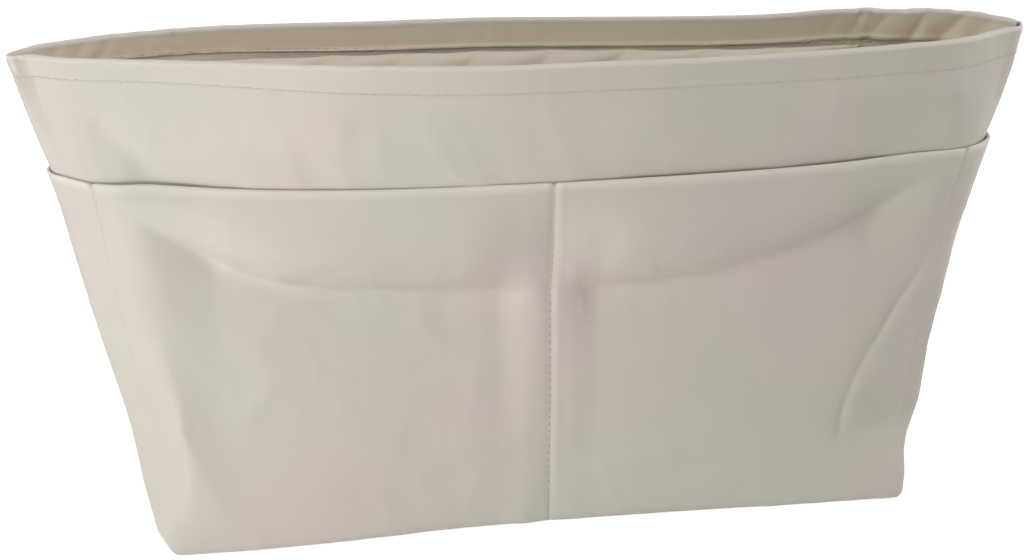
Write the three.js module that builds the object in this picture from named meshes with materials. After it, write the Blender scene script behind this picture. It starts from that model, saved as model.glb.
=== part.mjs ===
// Open-topped toiletry pouch with slip pockets all round, sewn from thin cloth.
// Millimetres. X runs along the bag, -Y is its front, +Z is up, and the origin is the middle of the base
// on the surface that the bag stands on.
// Every wall piece is a section drawn through the cloth and carried along the bag's plan curve, which
// changes from a boxed outline at the base to a lens at the rim.
import * as THREE from "three";

// Outer form
const RIM_WIDTH = 300; // side seam to side seam at the mouth
const RIM_DEPTH = 64; // front to back at the middle of the mouth
const BASE_WIDTH = 228;
const BASE_DEPTH = 60;
const HEIGHT = 146;
const RIM_POWER = 2; // exponent of the plan curve at the rim, where it is a lens
const BASE_POWER_ALONG = 30; // exponents at the base, where the corners are boxed
const BASE_POWER_ACROSS = 12;
const BOXED_FADE = 3; // how fast the boxed corners soften with height

// Cloth and the clearances between layers
const CLOTH = 0.5;
const INTERLINING = 0.6;
const LINING = 0.4;
const BOARD = 2;
const LAYER_GAP = 0.3;
const SEAM_GAP = 0.3;

// Hem turned in over the rim
const HEM_DEPTH = 9;
const FOLD_STEPS = 4; // facets of the half round at the rim
const UNDER_FOLD = 0.4; // clearance of the inner layers below the round of the fold

// Slip pockets outside
const POCKET_DROP = 33; // rim down to the pocket mouths
const POCKET_MOUTH_GAP = 1.5; // how far a mouth stands off the wall at rest
const STITCH_GAP = 0.6; // between two pockets along the stitching that divides them
const CORNER_STITCH_AT_MOUTH = 20; // side seam to the corner stitching, along the cloth

// Slip pockets inside
const INNER_POCKET_WIDTH = 214; // at the mouth, along the cloth
const INNER_POCKET_DEPTH = 95;
const INNER_POCKET_DROP = 1.5; // hem edge down to the inner mouths
const INNER_MOUTH_GAP = 1;

// Slack of the soft rim, where it strays from an even lens
const FRONT = "front";
const BACK = "back";
const BACK_BELLY = 7; // back rim bellied out towards its left end
const BACK_SHOULDER = 11.5; // back rim squared out at the right end
const FRONT_TUCK = 4.5; // front rim tucked in at the right tip
const SIDE_MIX = 6; // the slack of front and back mix this near to the side seams
const TIP_REACH = 6; // all slack dies out this near to the side seams

// Each push of a half along +Y: its middle and spread are shares of half the rim's width, and it starts at
// a share of the height and grows up to the rim.
const RIM_SLACK = [
  { half: BACK, push: BACK_BELLY, middle: -0.7, spread: 0.25, start: 0.41 },
  { half: BACK, push: BACK_SHOULDER, middle: 0.95, spread: 0.13, start: 0.48 },
  { half: FRONT, push: FRONT_TUCK, middle: 0.95, spread: 0.07, start: 0.62 },
];

// Facets: stations along a quarter of the bag and levels up it, shared by every layer
const STEPS_TO_INNER_STITCH = 4;
const STEPS_TO_CORNER_STITCH = 3;
const STEPS_TO_SIDE_SEAM = 5;
const EVEN_LEVELS = 6;
const CURVE_STEPS = 240;

const INNER_STITCH = STEPS_TO_INNER_STITCH;
const CORNER_STITCH = INNER_STITCH + STEPS_TO_CORNER_STITCH;
const SIDE_SEAM = CORNER_STITCH + STEPS_TO_SIDE_SEAM;

// Insets of each layer from the outer face of the body cloth
const interliningOut = CLOTH + LAYER_GAP;
const interliningIn = interliningOut + INTERLINING;
const liningOut = interliningIn + LAYER_GAP;
const liningIn = liningOut + LINING;
const hemOut = liningIn + LAYER_GAP;
const hemIn = hemOut + CLOTH;

// Heights
const wallFoot = CLOTH + LAYER_GAP;
const boardTop = wallFoot + BOARD;
const liningFoot = boardTop + LAYER_GAP;
const pocketMouth = HEIGHT - POCKET_DROP;
const hemEdge = HEIGHT - HEM_DEPTH;
const innerMouth = hemEdge - INNER_POCKET_DROP;
const innerFoot = innerMouth - INNER_POCKET_DEPTH;
const foldRadius = hemIn / 2;
const foldFoot = HEIGHT - foldRadius;
const innerLayersTop = foldFoot - UNDER_FOLD;

const { lerp, clamp, smoothstep } = THREE.MathUtils;

// Quarter of the outer face's plan at a height, from the middle of the front to the side seam.
const quarterPlans = new Map();
function quarterPlan(z) {
  if (quarterPlans.has(z)) return quarterPlans.get(z);
  const rise = z / HEIGHT;
  const boxed = (1 - rise) ** BOXED_FADE;
  const plan = {
    z,
    halfWidth: lerp(BASE_WIDTH, RIM_WIDTH, rise) / 2,
    halfDepth: lerp(BASE_DEPTH, RIM_DEPTH, rise) / 2,
    powerAlong: lerp(RIM_POWER, BASE_POWER_ALONG, boxed),
    powerAcross: lerp(RIM_POWER, BASE_POWER_ACROSS, boxed),
    points: [],
    lengths: [0],
  };
  for (let i = 0; i <= CURVE_STEPS; i++) {
    const angle = (Math.PI / 2) * (i / CURVE_STEPS);
    const along = i === 0 ? 0 : Math.sin(angle) ** (2 / plan.powerAlong);
    const across = i === CURVE_STEPS ? 0 : Math.cos(angle) ** (2 / plan.powerAcross);
    plan.points.push(new THREE.Vector2(plan.halfWidth * along, plan.halfDepth * across));
    if (i > 0) plan.lengths.push(plan.lengths[i - 1] + plan.points[i].distanceTo(plan.points[i - 1]));
  }
  plan.girth = plan.lengths[CURVE_STEPS];
  quarterPlans.set(z, plan);
  return plan;
}

// Point of the quarter plan at a length along it, and the outward normal there.
function pointAlong(plan, length) {
  let i = 1;
  while (i < CURVE_STEPS && plan.lengths[i] < length) i++;
  const share = (length - plan.lengths[i - 1]) / (plan.lengths[i] - plan.lengths[i - 1]);
  const point = plan.points[i - 1].clone().lerp(plan.points[i], share);
  const normal = new THREE.Vector2(
    (plan.powerAlong / plan.halfWidth) * (point.x / plan.halfWidth) ** (plan.powerAlong - 1),
    (plan.powerAcross / plan.halfDepth) * (point.y / plan.halfDepth) ** (plan.powerAcross - 1),
  );
  return { point, normal: normal.normalize() };
}

// Length along the quarter plan at which a station lies. The corner stitching runs down to the base corner.
function stationLength(plan, station) {
  const innerStitch = (plan.girth * INNER_POCKET_WIDTH) / 2 / quarterPlan(innerMouth).girth;
  const fromSeam = lerp(BASE_DEPTH / 2, CORNER_STITCH_AT_MOUTH, plan.z / pocketMouth);
  const cornerStitch = plan.girth - fromSeam;
  if (station <= INNER_STITCH) return (innerStitch * station) / INNER_STITCH;
  if (station <= CORNER_STITCH) {
    return lerp(innerStitch, cornerStitch, (station - INNER_STITCH) / STEPS_TO_CORNER_STITCH);
  }
  return lerp(cornerStitch, plan.girth, (station - CORNER_STITCH) / STEPS_TO_SIDE_SEAM);
}

// How far the slack moves a point of the outer face along +Y.
function slackAt(x, y, z) {
  const inBack = smoothstep(y, -SIDE_MIX, SIDE_MIX);
  const offSeam = Math.sqrt(clamp((quarterPlan(z).halfWidth - Math.abs(x)) / TIP_REACH, 0, 1));
  let shift = 0;
  for (const { half, push, middle, spread, start } of RIM_SLACK) {
    const share = half === BACK ? inBack : 1 - inBack;
    const across = Math.exp(-0.5 * ((x / (RIM_WIDTH / 2) - middle) / spread) ** 2);
    shift += push * share * across * smoothstep(z, start * HEIGHT, HEIGHT);
  }
  return shift * offSeam;
}

// Line up the wall at a station: a function from an inset and a height to a point. It is drawn on the front,
// to the right for a hand of 1 and to the left for -1, and past the side seam for a side of 1. A turn of -1
// carries it half round the bag, and shift moves it along the cloth towards the side seam.
function wallLine(station, { turn, hand = 1, side = -1, shift = 0, seamGap = SEAM_GAP }) {
  return (inset, z) => {
    const plan = quarterPlan(z);
    const { point, normal } = pointAlong(plan, stationLength(plan, station) + shift);
    const x = turn * hand * point.x;
    const y = turn * side * (point.y + seamGap / 2);
    const inX = turn * hand * normal.x * inset;
    const inY = turn * side * normal.y * inset;
    return new THREE.Vector3(x - inX, y - inY + slackAt(x, y, z), z);
  };
}

// Lines over one hand of a half between two stations, running from left to right as seen from outside.
function handLines(turn, hand, from, to, firstShift = 0, lastShift = 0) {
  const lines = [];
  for (let station = from; station <= to; station++) {
    const shift = station === from ? firstShift : station === to ? lastShift : 0;
    lines.push(wallLine(station, { turn, hand, shift }));
  }
  return hand > 0 ? lines : lines.reverse();
}

// Lines over the middle of a half, as far as a station on both hands.
function middleLines(turn, to) {
  return [...handLines(turn, -1, 1, to), ...handLines(turn, 1, 0, to)];
}

// Lines round an end, from one corner stitching to the other.
function endLines(turn) {
  const front = [];
  const back = [];
  for (let station = CORNER_STITCH; station < SIDE_SEAM; station++) {
    const shift = station === CORNER_STITCH ? STITCH_GAP / 2 : 0;
    front.push(wallLine(station, { turn, shift }));
    back.unshift(wallLine(station, { turn, side: 1, shift }));
  }
  return [...front, wallLine(SIDE_SEAM, { turn, seamGap: 0 }), ...back];
}

// Heights from foot to top at which a layer has a row of facets.
function levels(foot, top) {
  const marks = [innerFoot, pocketMouth, innerMouth, hemEdge];
  for (let i = 1; i < EVEN_LEVELS; i++) marks.push((HEIGHT * i) / EVEN_LEVELS);
  const between = marks.filter((z) => z > foot + CLOTH && z < top - CLOTH);
  const rising = [foot, ...between.sort((a, b) => a - b), top];
  return rising.filter((z, i) => i === 0 || z - rising[i - 1] > LAYER_GAP);
}

// Section of a straight layer: at each level, the insets of its outer and inner faces.
function layerSection(foot, top, outerInset, thickness) {
  return levels(foot, top).map((z) => {
    const inset = outerInset(z);
    return { outer: [inset, z], inner: [inset + thickness, z] };
  });
}

// Section of a body panel: up the outside, over the rim in a half round and down to the hem edge.
function hemmedSection() {
  const section = layerSection(wallFoot, foldFoot, () => 0, CLOTH);
  const foldPoint = (radius, angle) => [
    foldRadius - radius * Math.cos(angle),
    foldFoot + radius * Math.sin(angle),
  ];
  for (let i = 1; i <= FOLD_STEPS; i++) {
    const angle = (Math.PI * i) / FOLD_STEPS;
    section.push({ outer: foldPoint(foldRadius, angle), inner: foldPoint(foldRadius - CLOTH, angle) });
  }
  section.push({ outer: [hemIn, hemEdge], inner: [hemOut, hemEdge] });
  return section;
}

function indexedGeometry(positions, index) {
  const geometry = new THREE.BufferGeometry();
  geometry.setAttribute("position", new THREE.Float32BufferAttribute(positions, 3));
  geometry.setIndex(index);
  geometry.computeVertexNormals();
  return geometry;
}

// Closed solid of a cloth section carried along lines up the wall.
function clothGeometry(section, lines) {
  const rows = section.length;
  const lastRow = rows - 1;
  const lastLine = lines.length - 1;
  const positions = [];
  for (const line of lines) {
    for (const { outer, inner } of section) {
      positions.push(...line(...outer).toArray(), ...line(...inner).toArray());
    }
  }
  const outer = (line, row) => (line * rows + row) * 2;
  const inner = (line, row) => outer(line, row) + 1;
  const index = [];
  const quad = (a, b, c, d) => index.push(a, b, c, a, c, d);
  for (let i = 0; i < lastLine; i++) {
    for (let k = 0; k < lastRow; k++) {
      quad(outer(i, k), outer(i + 1, k), outer(i + 1, k + 1), outer(i, k + 1));
      quad(inner(i, k), inner(i, k + 1), inner(i + 1, k + 1), inner(i + 1, k));
    }
    quad(outer(i, 0), inner(i, 0), inner(i + 1, 0), outer(i + 1, 0));
    quad(outer(i, lastRow), outer(i + 1, lastRow), inner(i + 1, lastRow), inner(i, lastRow));
  }
  for (let k = 0; k < lastRow; k++) {
    quad(outer(0, k), outer(0, k + 1), inner(0, k + 1), inner(0, k));
    quad(outer(lastLine, k), inner(lastLine, k), inner(lastLine, k + 1), outer(lastLine, k + 1));
  }
  return indexedGeometry(positions, index);
}

// Flat sheet of the base's plan at an inset, between two heights, as two fans joined by a wall.
function baseGeometry(inset, foot, thickness) {
  const lines = [...middleLines(1, SIDE_SEAM), ...middleLines(-1, SIDE_SEAM)];
  const outline = lines.map((line) => line(inset, 0));
  const count = outline.length;
  const positions = [0, 0, foot, 0, 0, foot + thickness];
  for (const { x, y } of outline) positions.push(x, y, foot, x, y, foot + thickness);
  const low = (i) => 2 + (i % count) * 2;
  const high = (i) => low(i) + 1;
  const index = [];
  for (let i = 0; i < count; i++) {
    index.push(0, low(i + 1), low(i));
    index.push(1, high(i), high(i + 1));
    index.push(low(i), low(i + 1), high(i + 1));
    index.push(low(i), high(i + 1), high(i));
  }
  return indexedGeometry(positions, index);
}

const nylon = () => new THREE.MeshStandardMaterial({ color: 0xcdc5bb, roughness: 0.55, metalness: 0 });
const liningCloth = () => new THREE.MeshStandardMaterial({ color: 0xbfb19f, roughness: 0.6, metalness: 0 });
const felt = () => new THREE.MeshStandardMaterial({ color: 0xe6e2da, roughness: 0.95, metalness: 0 });
const greyBoard = () => new THREE.MeshStandardMaterial({ color: 0x8d8a84, roughness: 0.8, metalness: 0 });

const bag = new THREE.Group();
function addPiece(name, geometry, material) {
  const mesh = new THREE.Mesh(geometry, material);
  mesh.name = name;
  bag.add(mesh);
  return mesh;
}

// A cloth section carried along lines on the front or the right end, and on the same lines turned half round.
function addPair(name, turnedName, section, linesFor, material) {
  addPiece(name, clothGeometry(section, linesFor(1)), material());
  addPiece(turnedName, clothGeometry(section, linesFor(-1)), material());
}

// Body: outer panels with their turned hems, the stiffening between the layers, and the lining
const wholeHalf = (turn) => middleLines(turn, SIDE_SEAM);
addPair("front_panel", "back_panel", hemmedSection(), wholeHalf, nylon);

const interliningSection = layerSection(wallFoot, innerLayersTop, () => interliningOut, INTERLINING);
addPair("front_interlining", "back_interlining", interliningSection, wholeHalf, felt);

const liningSection = layerSection(liningFoot, innerLayersTop, () => liningOut, LINING);
addPair("front_lining", "back_lining", liningSection, wholeHalf, liningCloth);

const pocketOutside = LAYER_GAP + CLOTH;
addPiece("base_panel", baseGeometry(-pocketOutside, 0, CLOTH), nylon());
addPiece("base_board", baseGeometry(liningOut, wallFoot, BOARD), greyBoard());
addPiece("base_lining", baseGeometry(liningIn + LAYER_GAP, liningFoot, LINING), liningCloth());

// Outer slip pockets: close to the wall at the base seam, standing off it at the mouth
const pocketInset = (z) => {
  const rise = (z - wallFoot) / (pocketMouth - wallFoot);
  return -CLOTH - lerp(LAYER_GAP, POCKET_MOUTH_GAP, rise);
};
const pocketSection = layerSection(wallFoot, pocketMouth, pocketInset, CLOTH);
const halfStitch = STITCH_GAP / 2;
const pocketLines = (hand) => (turn) => handLines(turn, hand, 0, CORNER_STITCH, halfStitch, -halfStitch);
addPair("front_right_pocket", "back_left_pocket", pocketSection, pocketLines(1), nylon);
addPair("front_left_pocket", "back_right_pocket", pocketSection, pocketLines(-1), nylon);
addPair("right_end_pocket", "left_end_pocket", pocketSection, endLines, nylon);

// Inner slip pockets, sewn to the lining below the hem
const innerInset = (z) => {
  const rise = (z - innerFoot) / (innerMouth - innerFoot);
  return liningIn + lerp(LAYER_GAP, INNER_MOUTH_GAP, rise);
};
const innerPocketSection = layerSection(innerFoot, innerMouth, innerInset, LINING);
const innerLines = (turn) => middleLines(turn, INNER_STITCH);
addPair("inner_front_pocket", "inner_back_pocket", innerPocketSection, innerLines, liningCloth);

export default bag;
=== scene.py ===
"""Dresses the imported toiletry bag: cloth panels, pockets, lining, thread, finishes and studio."""

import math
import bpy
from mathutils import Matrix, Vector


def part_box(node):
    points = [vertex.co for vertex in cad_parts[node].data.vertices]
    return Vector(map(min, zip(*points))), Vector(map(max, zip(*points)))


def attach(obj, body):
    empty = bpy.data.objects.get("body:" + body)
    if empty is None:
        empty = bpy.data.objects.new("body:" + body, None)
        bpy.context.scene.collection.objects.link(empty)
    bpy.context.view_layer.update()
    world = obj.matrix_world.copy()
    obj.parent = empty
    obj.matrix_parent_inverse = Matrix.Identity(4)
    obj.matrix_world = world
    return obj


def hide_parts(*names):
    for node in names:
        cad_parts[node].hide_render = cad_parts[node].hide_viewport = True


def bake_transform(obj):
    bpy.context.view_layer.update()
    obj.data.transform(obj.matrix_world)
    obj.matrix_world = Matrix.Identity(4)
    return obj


bl_info = {
    "name": "Open Toiletry Bag",
    "version": (1, 0, 0),
    "blender": (4, 5, 0),
    "location": "3D View > Sidebar > Toiletry Bag",
    "description": "Sews the bag's cloth, pockets, lining and thread round its packed frame",
    "category": "Object",
}

import bpy
import numpy as np
from mathutils import Vector

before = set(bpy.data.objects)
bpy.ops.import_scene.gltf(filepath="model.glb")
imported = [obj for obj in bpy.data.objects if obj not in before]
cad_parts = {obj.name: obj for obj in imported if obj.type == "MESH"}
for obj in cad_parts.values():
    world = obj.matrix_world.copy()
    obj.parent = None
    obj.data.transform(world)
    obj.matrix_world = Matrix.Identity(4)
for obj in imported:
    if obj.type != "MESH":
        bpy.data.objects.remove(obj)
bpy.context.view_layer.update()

MM = 0.001

# Halves of the bag, and its two sides as seen from the front
FRONT, BACK = HALVES = "front", "back"
SIDES = (-1.0, 1.0)

# Layers of the wall, measured inwards from the outer cloth's face
CLOTH = 0.5 * MM
FELT = 0.6 * MM
LINING = 0.4 * MM
LAYER_GAP = 0.3 * MM
SEAM_GAP = 0.04 * MM
FELT_INSET = CLOTH + LAYER_GAP
LINING_INSET = FELT_INSET + FELT + LAYER_GAP
INNER_INSET = LINING_INSET + LINING + LAYER_GAP
HEM_INSET = INNER_INSET + CLOTH
HEM_RADIUS = HEM_INSET / 2
WALL_FOOT = 0.8 * MM
LINING_FOOT = 3.1 * MM

# Plan curve of the wall: a sharp box at the base, an oval at the rim
OVAL_POWER = 2.0
BOX_POWER_ALONG = 30.0
BOX_POWER_ACROSS = 12.0
BOX_FADE = 3.0
BOX_SQUARED = (0.1, 0.4)
FOOT_POWER_ALONG = 70.0
FOOT_POWER_ACROSS = 30.0
FOOT_FADE = 11.0
PANEL_COLUMNS = 300
LAYER_COLUMNS, LAYER_ROWS = 200, 48
WALL_LEVELS = 147
WALL_STATIONS = 401
CURVE_STEPS = 600

# Where the soft rim is pushed: half, middle, spread, push to the back, height where it starts
RIM_PUSHES = (
    (FRONT, -114 * MM, 36 * MM, 11.0 * MM, 98 * MM),
    (BACK, -105 * MM, 38 * MM, 7.0 * MM, 60 * MM),
    (BACK, 55 * MM, 28 * MM, -5.5 * MM, 40 * MM),
    (BACK, 142 * MM, 19 * MM, 11.5 * MM, 70 * MM),
    (FRONT, 142 * MM, 10 * MM, 4.5 * MM, 90 * MM),
)
SIDE_MIX = 6 * MM
TIP_REACH = 6 * MM
BASE_BOW = 3 * MM
BASE_BOW_HEIGHT = 100 * MM

# How far the rim's two tips are drawn out sideways, and where along the rim and up the wall it starts
TIP_SPREAD = {-1.0: 1.8 * MM, 1.0: 1.2 * MM}
TIP_SPREAD_START = 90 * MM
TIP_SPREAD_FOOT = 45 * MM

# Where an end stands out or is drawn in: side, height, spread up, how far out
SIDE_PULLS = (
    (1.0, 128 * MM, 9 * MM, 1.9 * MM),
    (1.0, 86 * MM, 24 * MM, -4.1 * MM),
    (1.0, 48 * MM, 14 * MM, -2.2 * MM),
    (1.0, 28 * MM, 11 * MM, 1.9 * MM),
    (1.0, 16 * MM, 8 * MM, 1.0 * MM),
    (-1.0, 62 * MM, 20 * MM, 1.2 * MM),
    (-1.0, 14 * MM, 13 * MM, 3.0 * MM),
    (-1.0, 106 * MM, 10 * MM, -1.0 * MM),
)
SIDE_PULL_START = 70 * MM
SIDE_PULL_FOOT = 8 * MM

# How the foot turns under into the base seam, and how far the front left corner flares out
FOOT_TUCK = 0.9 * MM
FOOT_TUCK_HEIGHT = 3 * MM
CORNER_FLARE = 2.4 * MM
FLARE_ACROSS = (30 * MM, 112 * MM)
FLARE_UP = (2 * MM, 44 * MM)

# The crease beside the right corner: its place at the turn, its slopes, its dip, and where it fades
CREASE_X = 90 * MM
CREASE_UPPER_TURN, CREASE_UPPER_SLOPE = 36 * MM, 0.61
CREASE_LOWER_TURN, CREASE_LOWER_SLOPE = 18 * MM, 0.5
CREASE_ROUNDING = 4 * MM
CREASE_DIP = 3.0 * MM
CREASE_FRONT_REACH = 16 * MM
CREASE_FACET_REACH = 3.2 * MM
CREASE_FADES_IN = (8 * MM, 34 * MM)
CREASE_FADES_OUT = (60 * MM, 108 * MM)

# Flat facets above the base corners: crease top (x, z), crease foot (x, z), reach round the end
CORNER_FACETS = (
    ((111 * MM, 69 * MM), (90 * MM, 31 * MM), 15 * MM),
    ((-133 * MM, 98 * MM), (-107 * MM, 43 * MM), 15 * MM),
)
FACET_ROUNDING = 1.2 * MM
FACET_FOOT = 26 * MM

# Soft folds of the front wall: start (x, z), end (x, z), spread, depth (a ridge where negative)
FRONT_FOLDS = (
    ((-126, 126), (-114, 116), 2.8, 2.0),
    ((-128, 131), (-62, 130), 4.0, -1.0),
    ((-126, 121), (-70, 122), 4.0, 0.9),
    ((-52, 127), (-42, 135), 3.0, 0.35),
    ((24, 125), (40, 134), 3.0, -0.45),
    ((40, 135), (50, 130), 2.6, 0.5),
    ((102, 135), (110, 131), 2.6, 0.6),
    ((119, 134), (119, 114), 5.0, 0.9),
    ((-121, 78), (-108, 42), 2.2, -1.0),
    ((-108, 42), (-98, 16), 2.4, -0.9),
    ((-112, 74), (-99, 40), 5.5, 0.5),
    ((84, 132.5), (122, 131.5), 3.4, -2.4),
)

# Hollows of the front wall behind the pockets' mouth, which the pockets span
WALL_HOLLOWS = (
    ((-122, 110), (-92, 107), 3.4, 1.6),
    ((30, 107), (96, 108), 3.2, 0.6),
)

# Where the front wall swells out or sinks in: middle and spread across, and up, and depth
WALL_SWELLS = (
    (130, 10, 108, 24, -4.8),
    (-68, 26, 30, 28, -3.2),
    (58, 50, 42, 15, -1.8),
)

# The soft valley across the front: its line (x, z), its depth at the left and right, its reach below
# and above, where it fades out, and how shallow the centre stitching holds it
DRAPE_POINTS = (
    (-122, 106), (-108, 97.5), (-91, 87.2), (-79, 82.7), (-66, 80.7), (-53, 79.5), (-33, 77.9),
    (-10, 77.5), (10, 77.2), (27, 77.5), (48, 80.2), (66, 84.2), (83, 89.5), (100, 96.5), (122, 106.5),
)
VALLEY_SINKS = (9 * MM, 7.5 * MM)
VALLEY_BELOW = 40 * MM
VALLEY_ABOVE = 12 * MM
VALLEY_MIDDLE = 30 * MM
VALLEY_FOOT = 30 * MM
VALLEY_ENDS = (95 * MM, 122 * MM)
VALLEY_CAUGHT = 0.6
VALLEY_CAUGHT_REACH = (2 * MM, 16 * MM)

# Sewn lines of the pockets, measured along the cloth from the side seam
CORNER_STITCH_AT_FOOT = 30 * MM
CORNER_STITCH_AT_MOUTH = 20 * MM
INNER_POCKET_HALF = 107 * MM

# The hem: its stitched line, the rows of mesh about that line, the painted shade of its needle holes, its
# groove, pleats and the painted highlight along the rim's fold
HEM_LINE = 138 * MM
HEM_ROW_REACH = 6 * MM
HEM_RISE_LEFT = 2 * MM
HEM_DROP_RIGHT = 0.4 * MM
HEM_END = 0.992
SEAM_ROWS = np.array((-1.3, -0.8, -0.45, -0.2, 0.0, 0.2, 0.45, 0.8, 1.3)) * MM
# Painted shade of the needle holes: its spread across the row, and its strength outside and inside
HOLE_SPREAD = 0.2 * MM
HEM_HOLE_PAINTED_SHADE = 0.3
HEM_HOLE_PAINTED_SHADE_INSIDE = 0.2
HEM_GROOVE = 0.1 * MM
GROOVE_SPREAD = 0.8 * MM
PUCKER_REACH = 6 * MM
PUCKER_DEPTH = 0.05 * MM
PLEAT_PITCH = 9 * MM
EDGE_BEAD = 0.45 * MM
EDGE_BEAD_SPREAD = 0.45 * MM
# The tick: a groove on the inside facing, darkened by painted shade
TICK_SPREAD = 0.35 * MM
TICK_DEPTH = 0.3 * MM
HEM_PINCH = 0.72
PINCH_REACH = 9 * MM
PINCH_TOP = 143 * MM
# Painted highlight along the rim's fold
RIM_PAINTED_HIGHLIGHT = 0.9

# The side seams of the panels, and the creases of handled cloth
SEAM_TURN = 0.6 * MM
# The spread also sets the width of the painted shade along the side seams
SEAM_SPREAD = 0.9 * MM
CRUMPLE_DEPTH = 0.9 * MM
NOISE_CELLS = (61, 53)
NOISE_SHIFT = 400.0

# The outer pockets, by side where they differ: how they stand off, their ledge, their mouth and sag, the
# painted highlight on the mouth's fold and the painted shadow in the gap behind it
POCKET_GAP = {-1.0: 0.6 * MM, 1.0: 0.8 * MM}
POCKET_GAP_REACH = 9 * MM
POCKET_FOLD_RADIUS = 0.55 * MM
POCKET_FACING = 30 * MM
POCKET_TILT = 0.025
POCKET_LEDGE = 3.0 * MM
POCKET_SWELL = 1.0 * MM
POCKET_GROOVE = 0.22 * MM
LEDGE_WIDTH = 5 * MM
LEDGE_ROUNDING = 0.8 * MM
DRAPE_ROUNDING = 5 * MM
SLACK_REACH = 26 * MM
RIGHT_HOLD = 0.65
END_GAPE = 0.25 * MM
END_REACH = 15 * MM
POUCH_LIFT = 0.8 * MM
POUCH_X = 113 * MM
POUCH_SPREAD = 9 * MM
MOUTH_NOTCH = 0.3 * MM
MOUTH_SAG = {-1.0: 0.5 * MM, 1.0: -0.3 * MM}
MOUTH_DROP = 0.95 * MM
MOUTH_DROP_ENDS = (95 * MM, 128 * MM)
MOUTH_ROLL = 1.1 * MM
MOUTH_ROLL_REACH = 4 * MM
# Painted highlight on the mouth's fold
MOUTH_PAINTED_HIGHLIGHT = 0.75
END_SAGS = ((-129 * MM, 9 * MM, 1.2 * MM),)
# Painted shadow in the gap between a pocket's mouth and the panel
PAINTED_GAP_SHADOW = 0.55
POCKET_COLUMNS, END_COLUMNS = 84, 40
COLUMN_EASE = 1.6
POCKET_SPLIT = 57 * MM
BLEND_REACH = 50 * MM

# The inner pockets: fold, facing, puff, gathers and the margin of their sewn edges
INNER_FOLD_RADIUS = 0.7 * MM
INNER_FACING = 12 * MM
INNER_PUFF = 4.5 * MM
INNER_PUFF_REACH = 6 * MM
INNER_GATHER = 2.6 * MM
INNER_MOUTH_RISE = 1.1 * MM
INNER_PLEAT_PITCH = 25 * MM
INNER_COLUMNS = 110
INNER_MARGIN = 2 * MM
INNER_BLEND_START = 12 * MM

# The thread, and the slabs of the base
THREAD_RADIUS = 0.19 * MM
FINE_THREAD_RADIUS = 0.09 * MM
THREAD_STANDS = 0.1
STITCH_FOOT = 12 * MM
STITCH_SHARE = 0.36
STITCH_SLANT = 0.10
BASE_ROWS = 14
BASE_COLUMNS = 240
SHARP_ANGLE = math.radians(50)
SLAB_CORNER = math.radians(60)

# The nylon's tones: streaks along both threads, warm and cool patches, fine mottling, the painted light
# that makes the inside facing lighter and warmer, and the tones of painted shade and painted highlight
SLUB_SCALES = ((60.0, 1500.0, 1.0), (1500.0, 60.0, 1.0))
PATCH_TINTS = ((1.03, 0.985, 1.01), (0.975, 1.01, 0.965))
MOTTLE_TONES = ((0.95, 0.95, 0.95, 1.0), (1.05, 1.05, 1.05, 1.0))
# Painted light on the inside facing, from where the cloth runs past the rim
FACING_PAINTED_LIGHT = (1.22, 1.15, 1.05)
FACING_START = 147.5 * MM
# Tones of the painted shade and the painted highlight that the seam attribute carries
PAINTED_SHADE_TONE, PAINTED_HIGHLIGHT_TONE = 0.22, 1.3
OUTER_RELIEF, LINING_RELIEF = 0.35, 0.45

# The studio
WHITE = (1.0, 1.0, 1.0, 1.0)
FLOOR_GREY = (0.85, 0.85, 0.85, 1.0)
FLOOR_GLOW = 0.8
FLOOR_SIZE = 8.0
FLOOR_DROP = 0.2 * MM
SENSOR_WIDTH = 36.0
LAMP_AIM = (0.0, 0.0, 80 * MM)


def smooth(value, start, end):
    """Smooth step of an array from 0 at start to 1 at end."""
    share = np.clip((value - start) / (end - start), 0.0, 1.0)
    return share * share * (3.0 - 2.0 * share)


def bump(value, middle, spread):
    """A bell curve of height 1."""
    return np.exp(-0.5 * ((value - middle) / spread) ** 2)


def fold(x, z, start, end, spread):
    """A soft fold of height 1 along a line on the wall, given in millimetres."""
    run_x, run_z = (end[0] - start[0]) * MM, (end[1] - start[1]) * MM
    from_x, from_z = x - start[0] * MM, z - start[1] * MM
    share = np.clip((from_x * run_x + from_z * run_z) / (run_x**2 + run_z**2), 0.0, 1.0)
    apart = np.hypot(from_x - share * run_x, from_z - share * run_z)
    return np.exp(-apart / (spread * MM)) * (1.0 + apart / (spread * MM))


def over(value, rounding):
    """The part of a value above zero, with a rounded corner."""
    return 0.5 * (value + np.sqrt(value * value + rounding * rounding))


def lengths_along(points):
    """Distance of each point along a path."""
    steps = np.linalg.norm(np.diff(points, axis=0), axis=1)
    return np.concatenate(([0.0], np.cumsum(steps)))


def colour(red, green, blue):
    """An sRGB colour in 0 to 255, as the linear values that shaders take."""
    shares = np.array((red, green, blue)) / 255.0
    linear = np.where(shares <= 0.04045, shares / 12.92, ((shares + 0.055) / 1.055) ** 2.4)
    return tuple(float(channel) for channel in linear)


def length_setting(name, about, default):
    """A length that a user may change."""
    return bpy.props.FloatProperty(name=name, description=about, default=default, unit="LENGTH")


def angle_setting(name, about, degrees):
    """An angle that a user may change, given in degrees."""
    turn = math.radians(degrees)
    return bpy.props.FloatProperty(name=name, description=about, default=turn, subtype="ANGLE")


def power_setting(name, about, default):
    """A lamp's power that a user may change."""
    return bpy.props.FloatProperty(name=name, description=about, default=default, unit="POWER")


def tint_setting(name, about, red, green, blue):
    """A colour that a user may change, given as sRGB in 0 to 255."""
    shade = colour(red, green, blue)
    return bpy.props.FloatVectorProperty(
        name=name, description=about, default=shade, subtype="COLOR", min=0.0, max=1.0
    )


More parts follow.
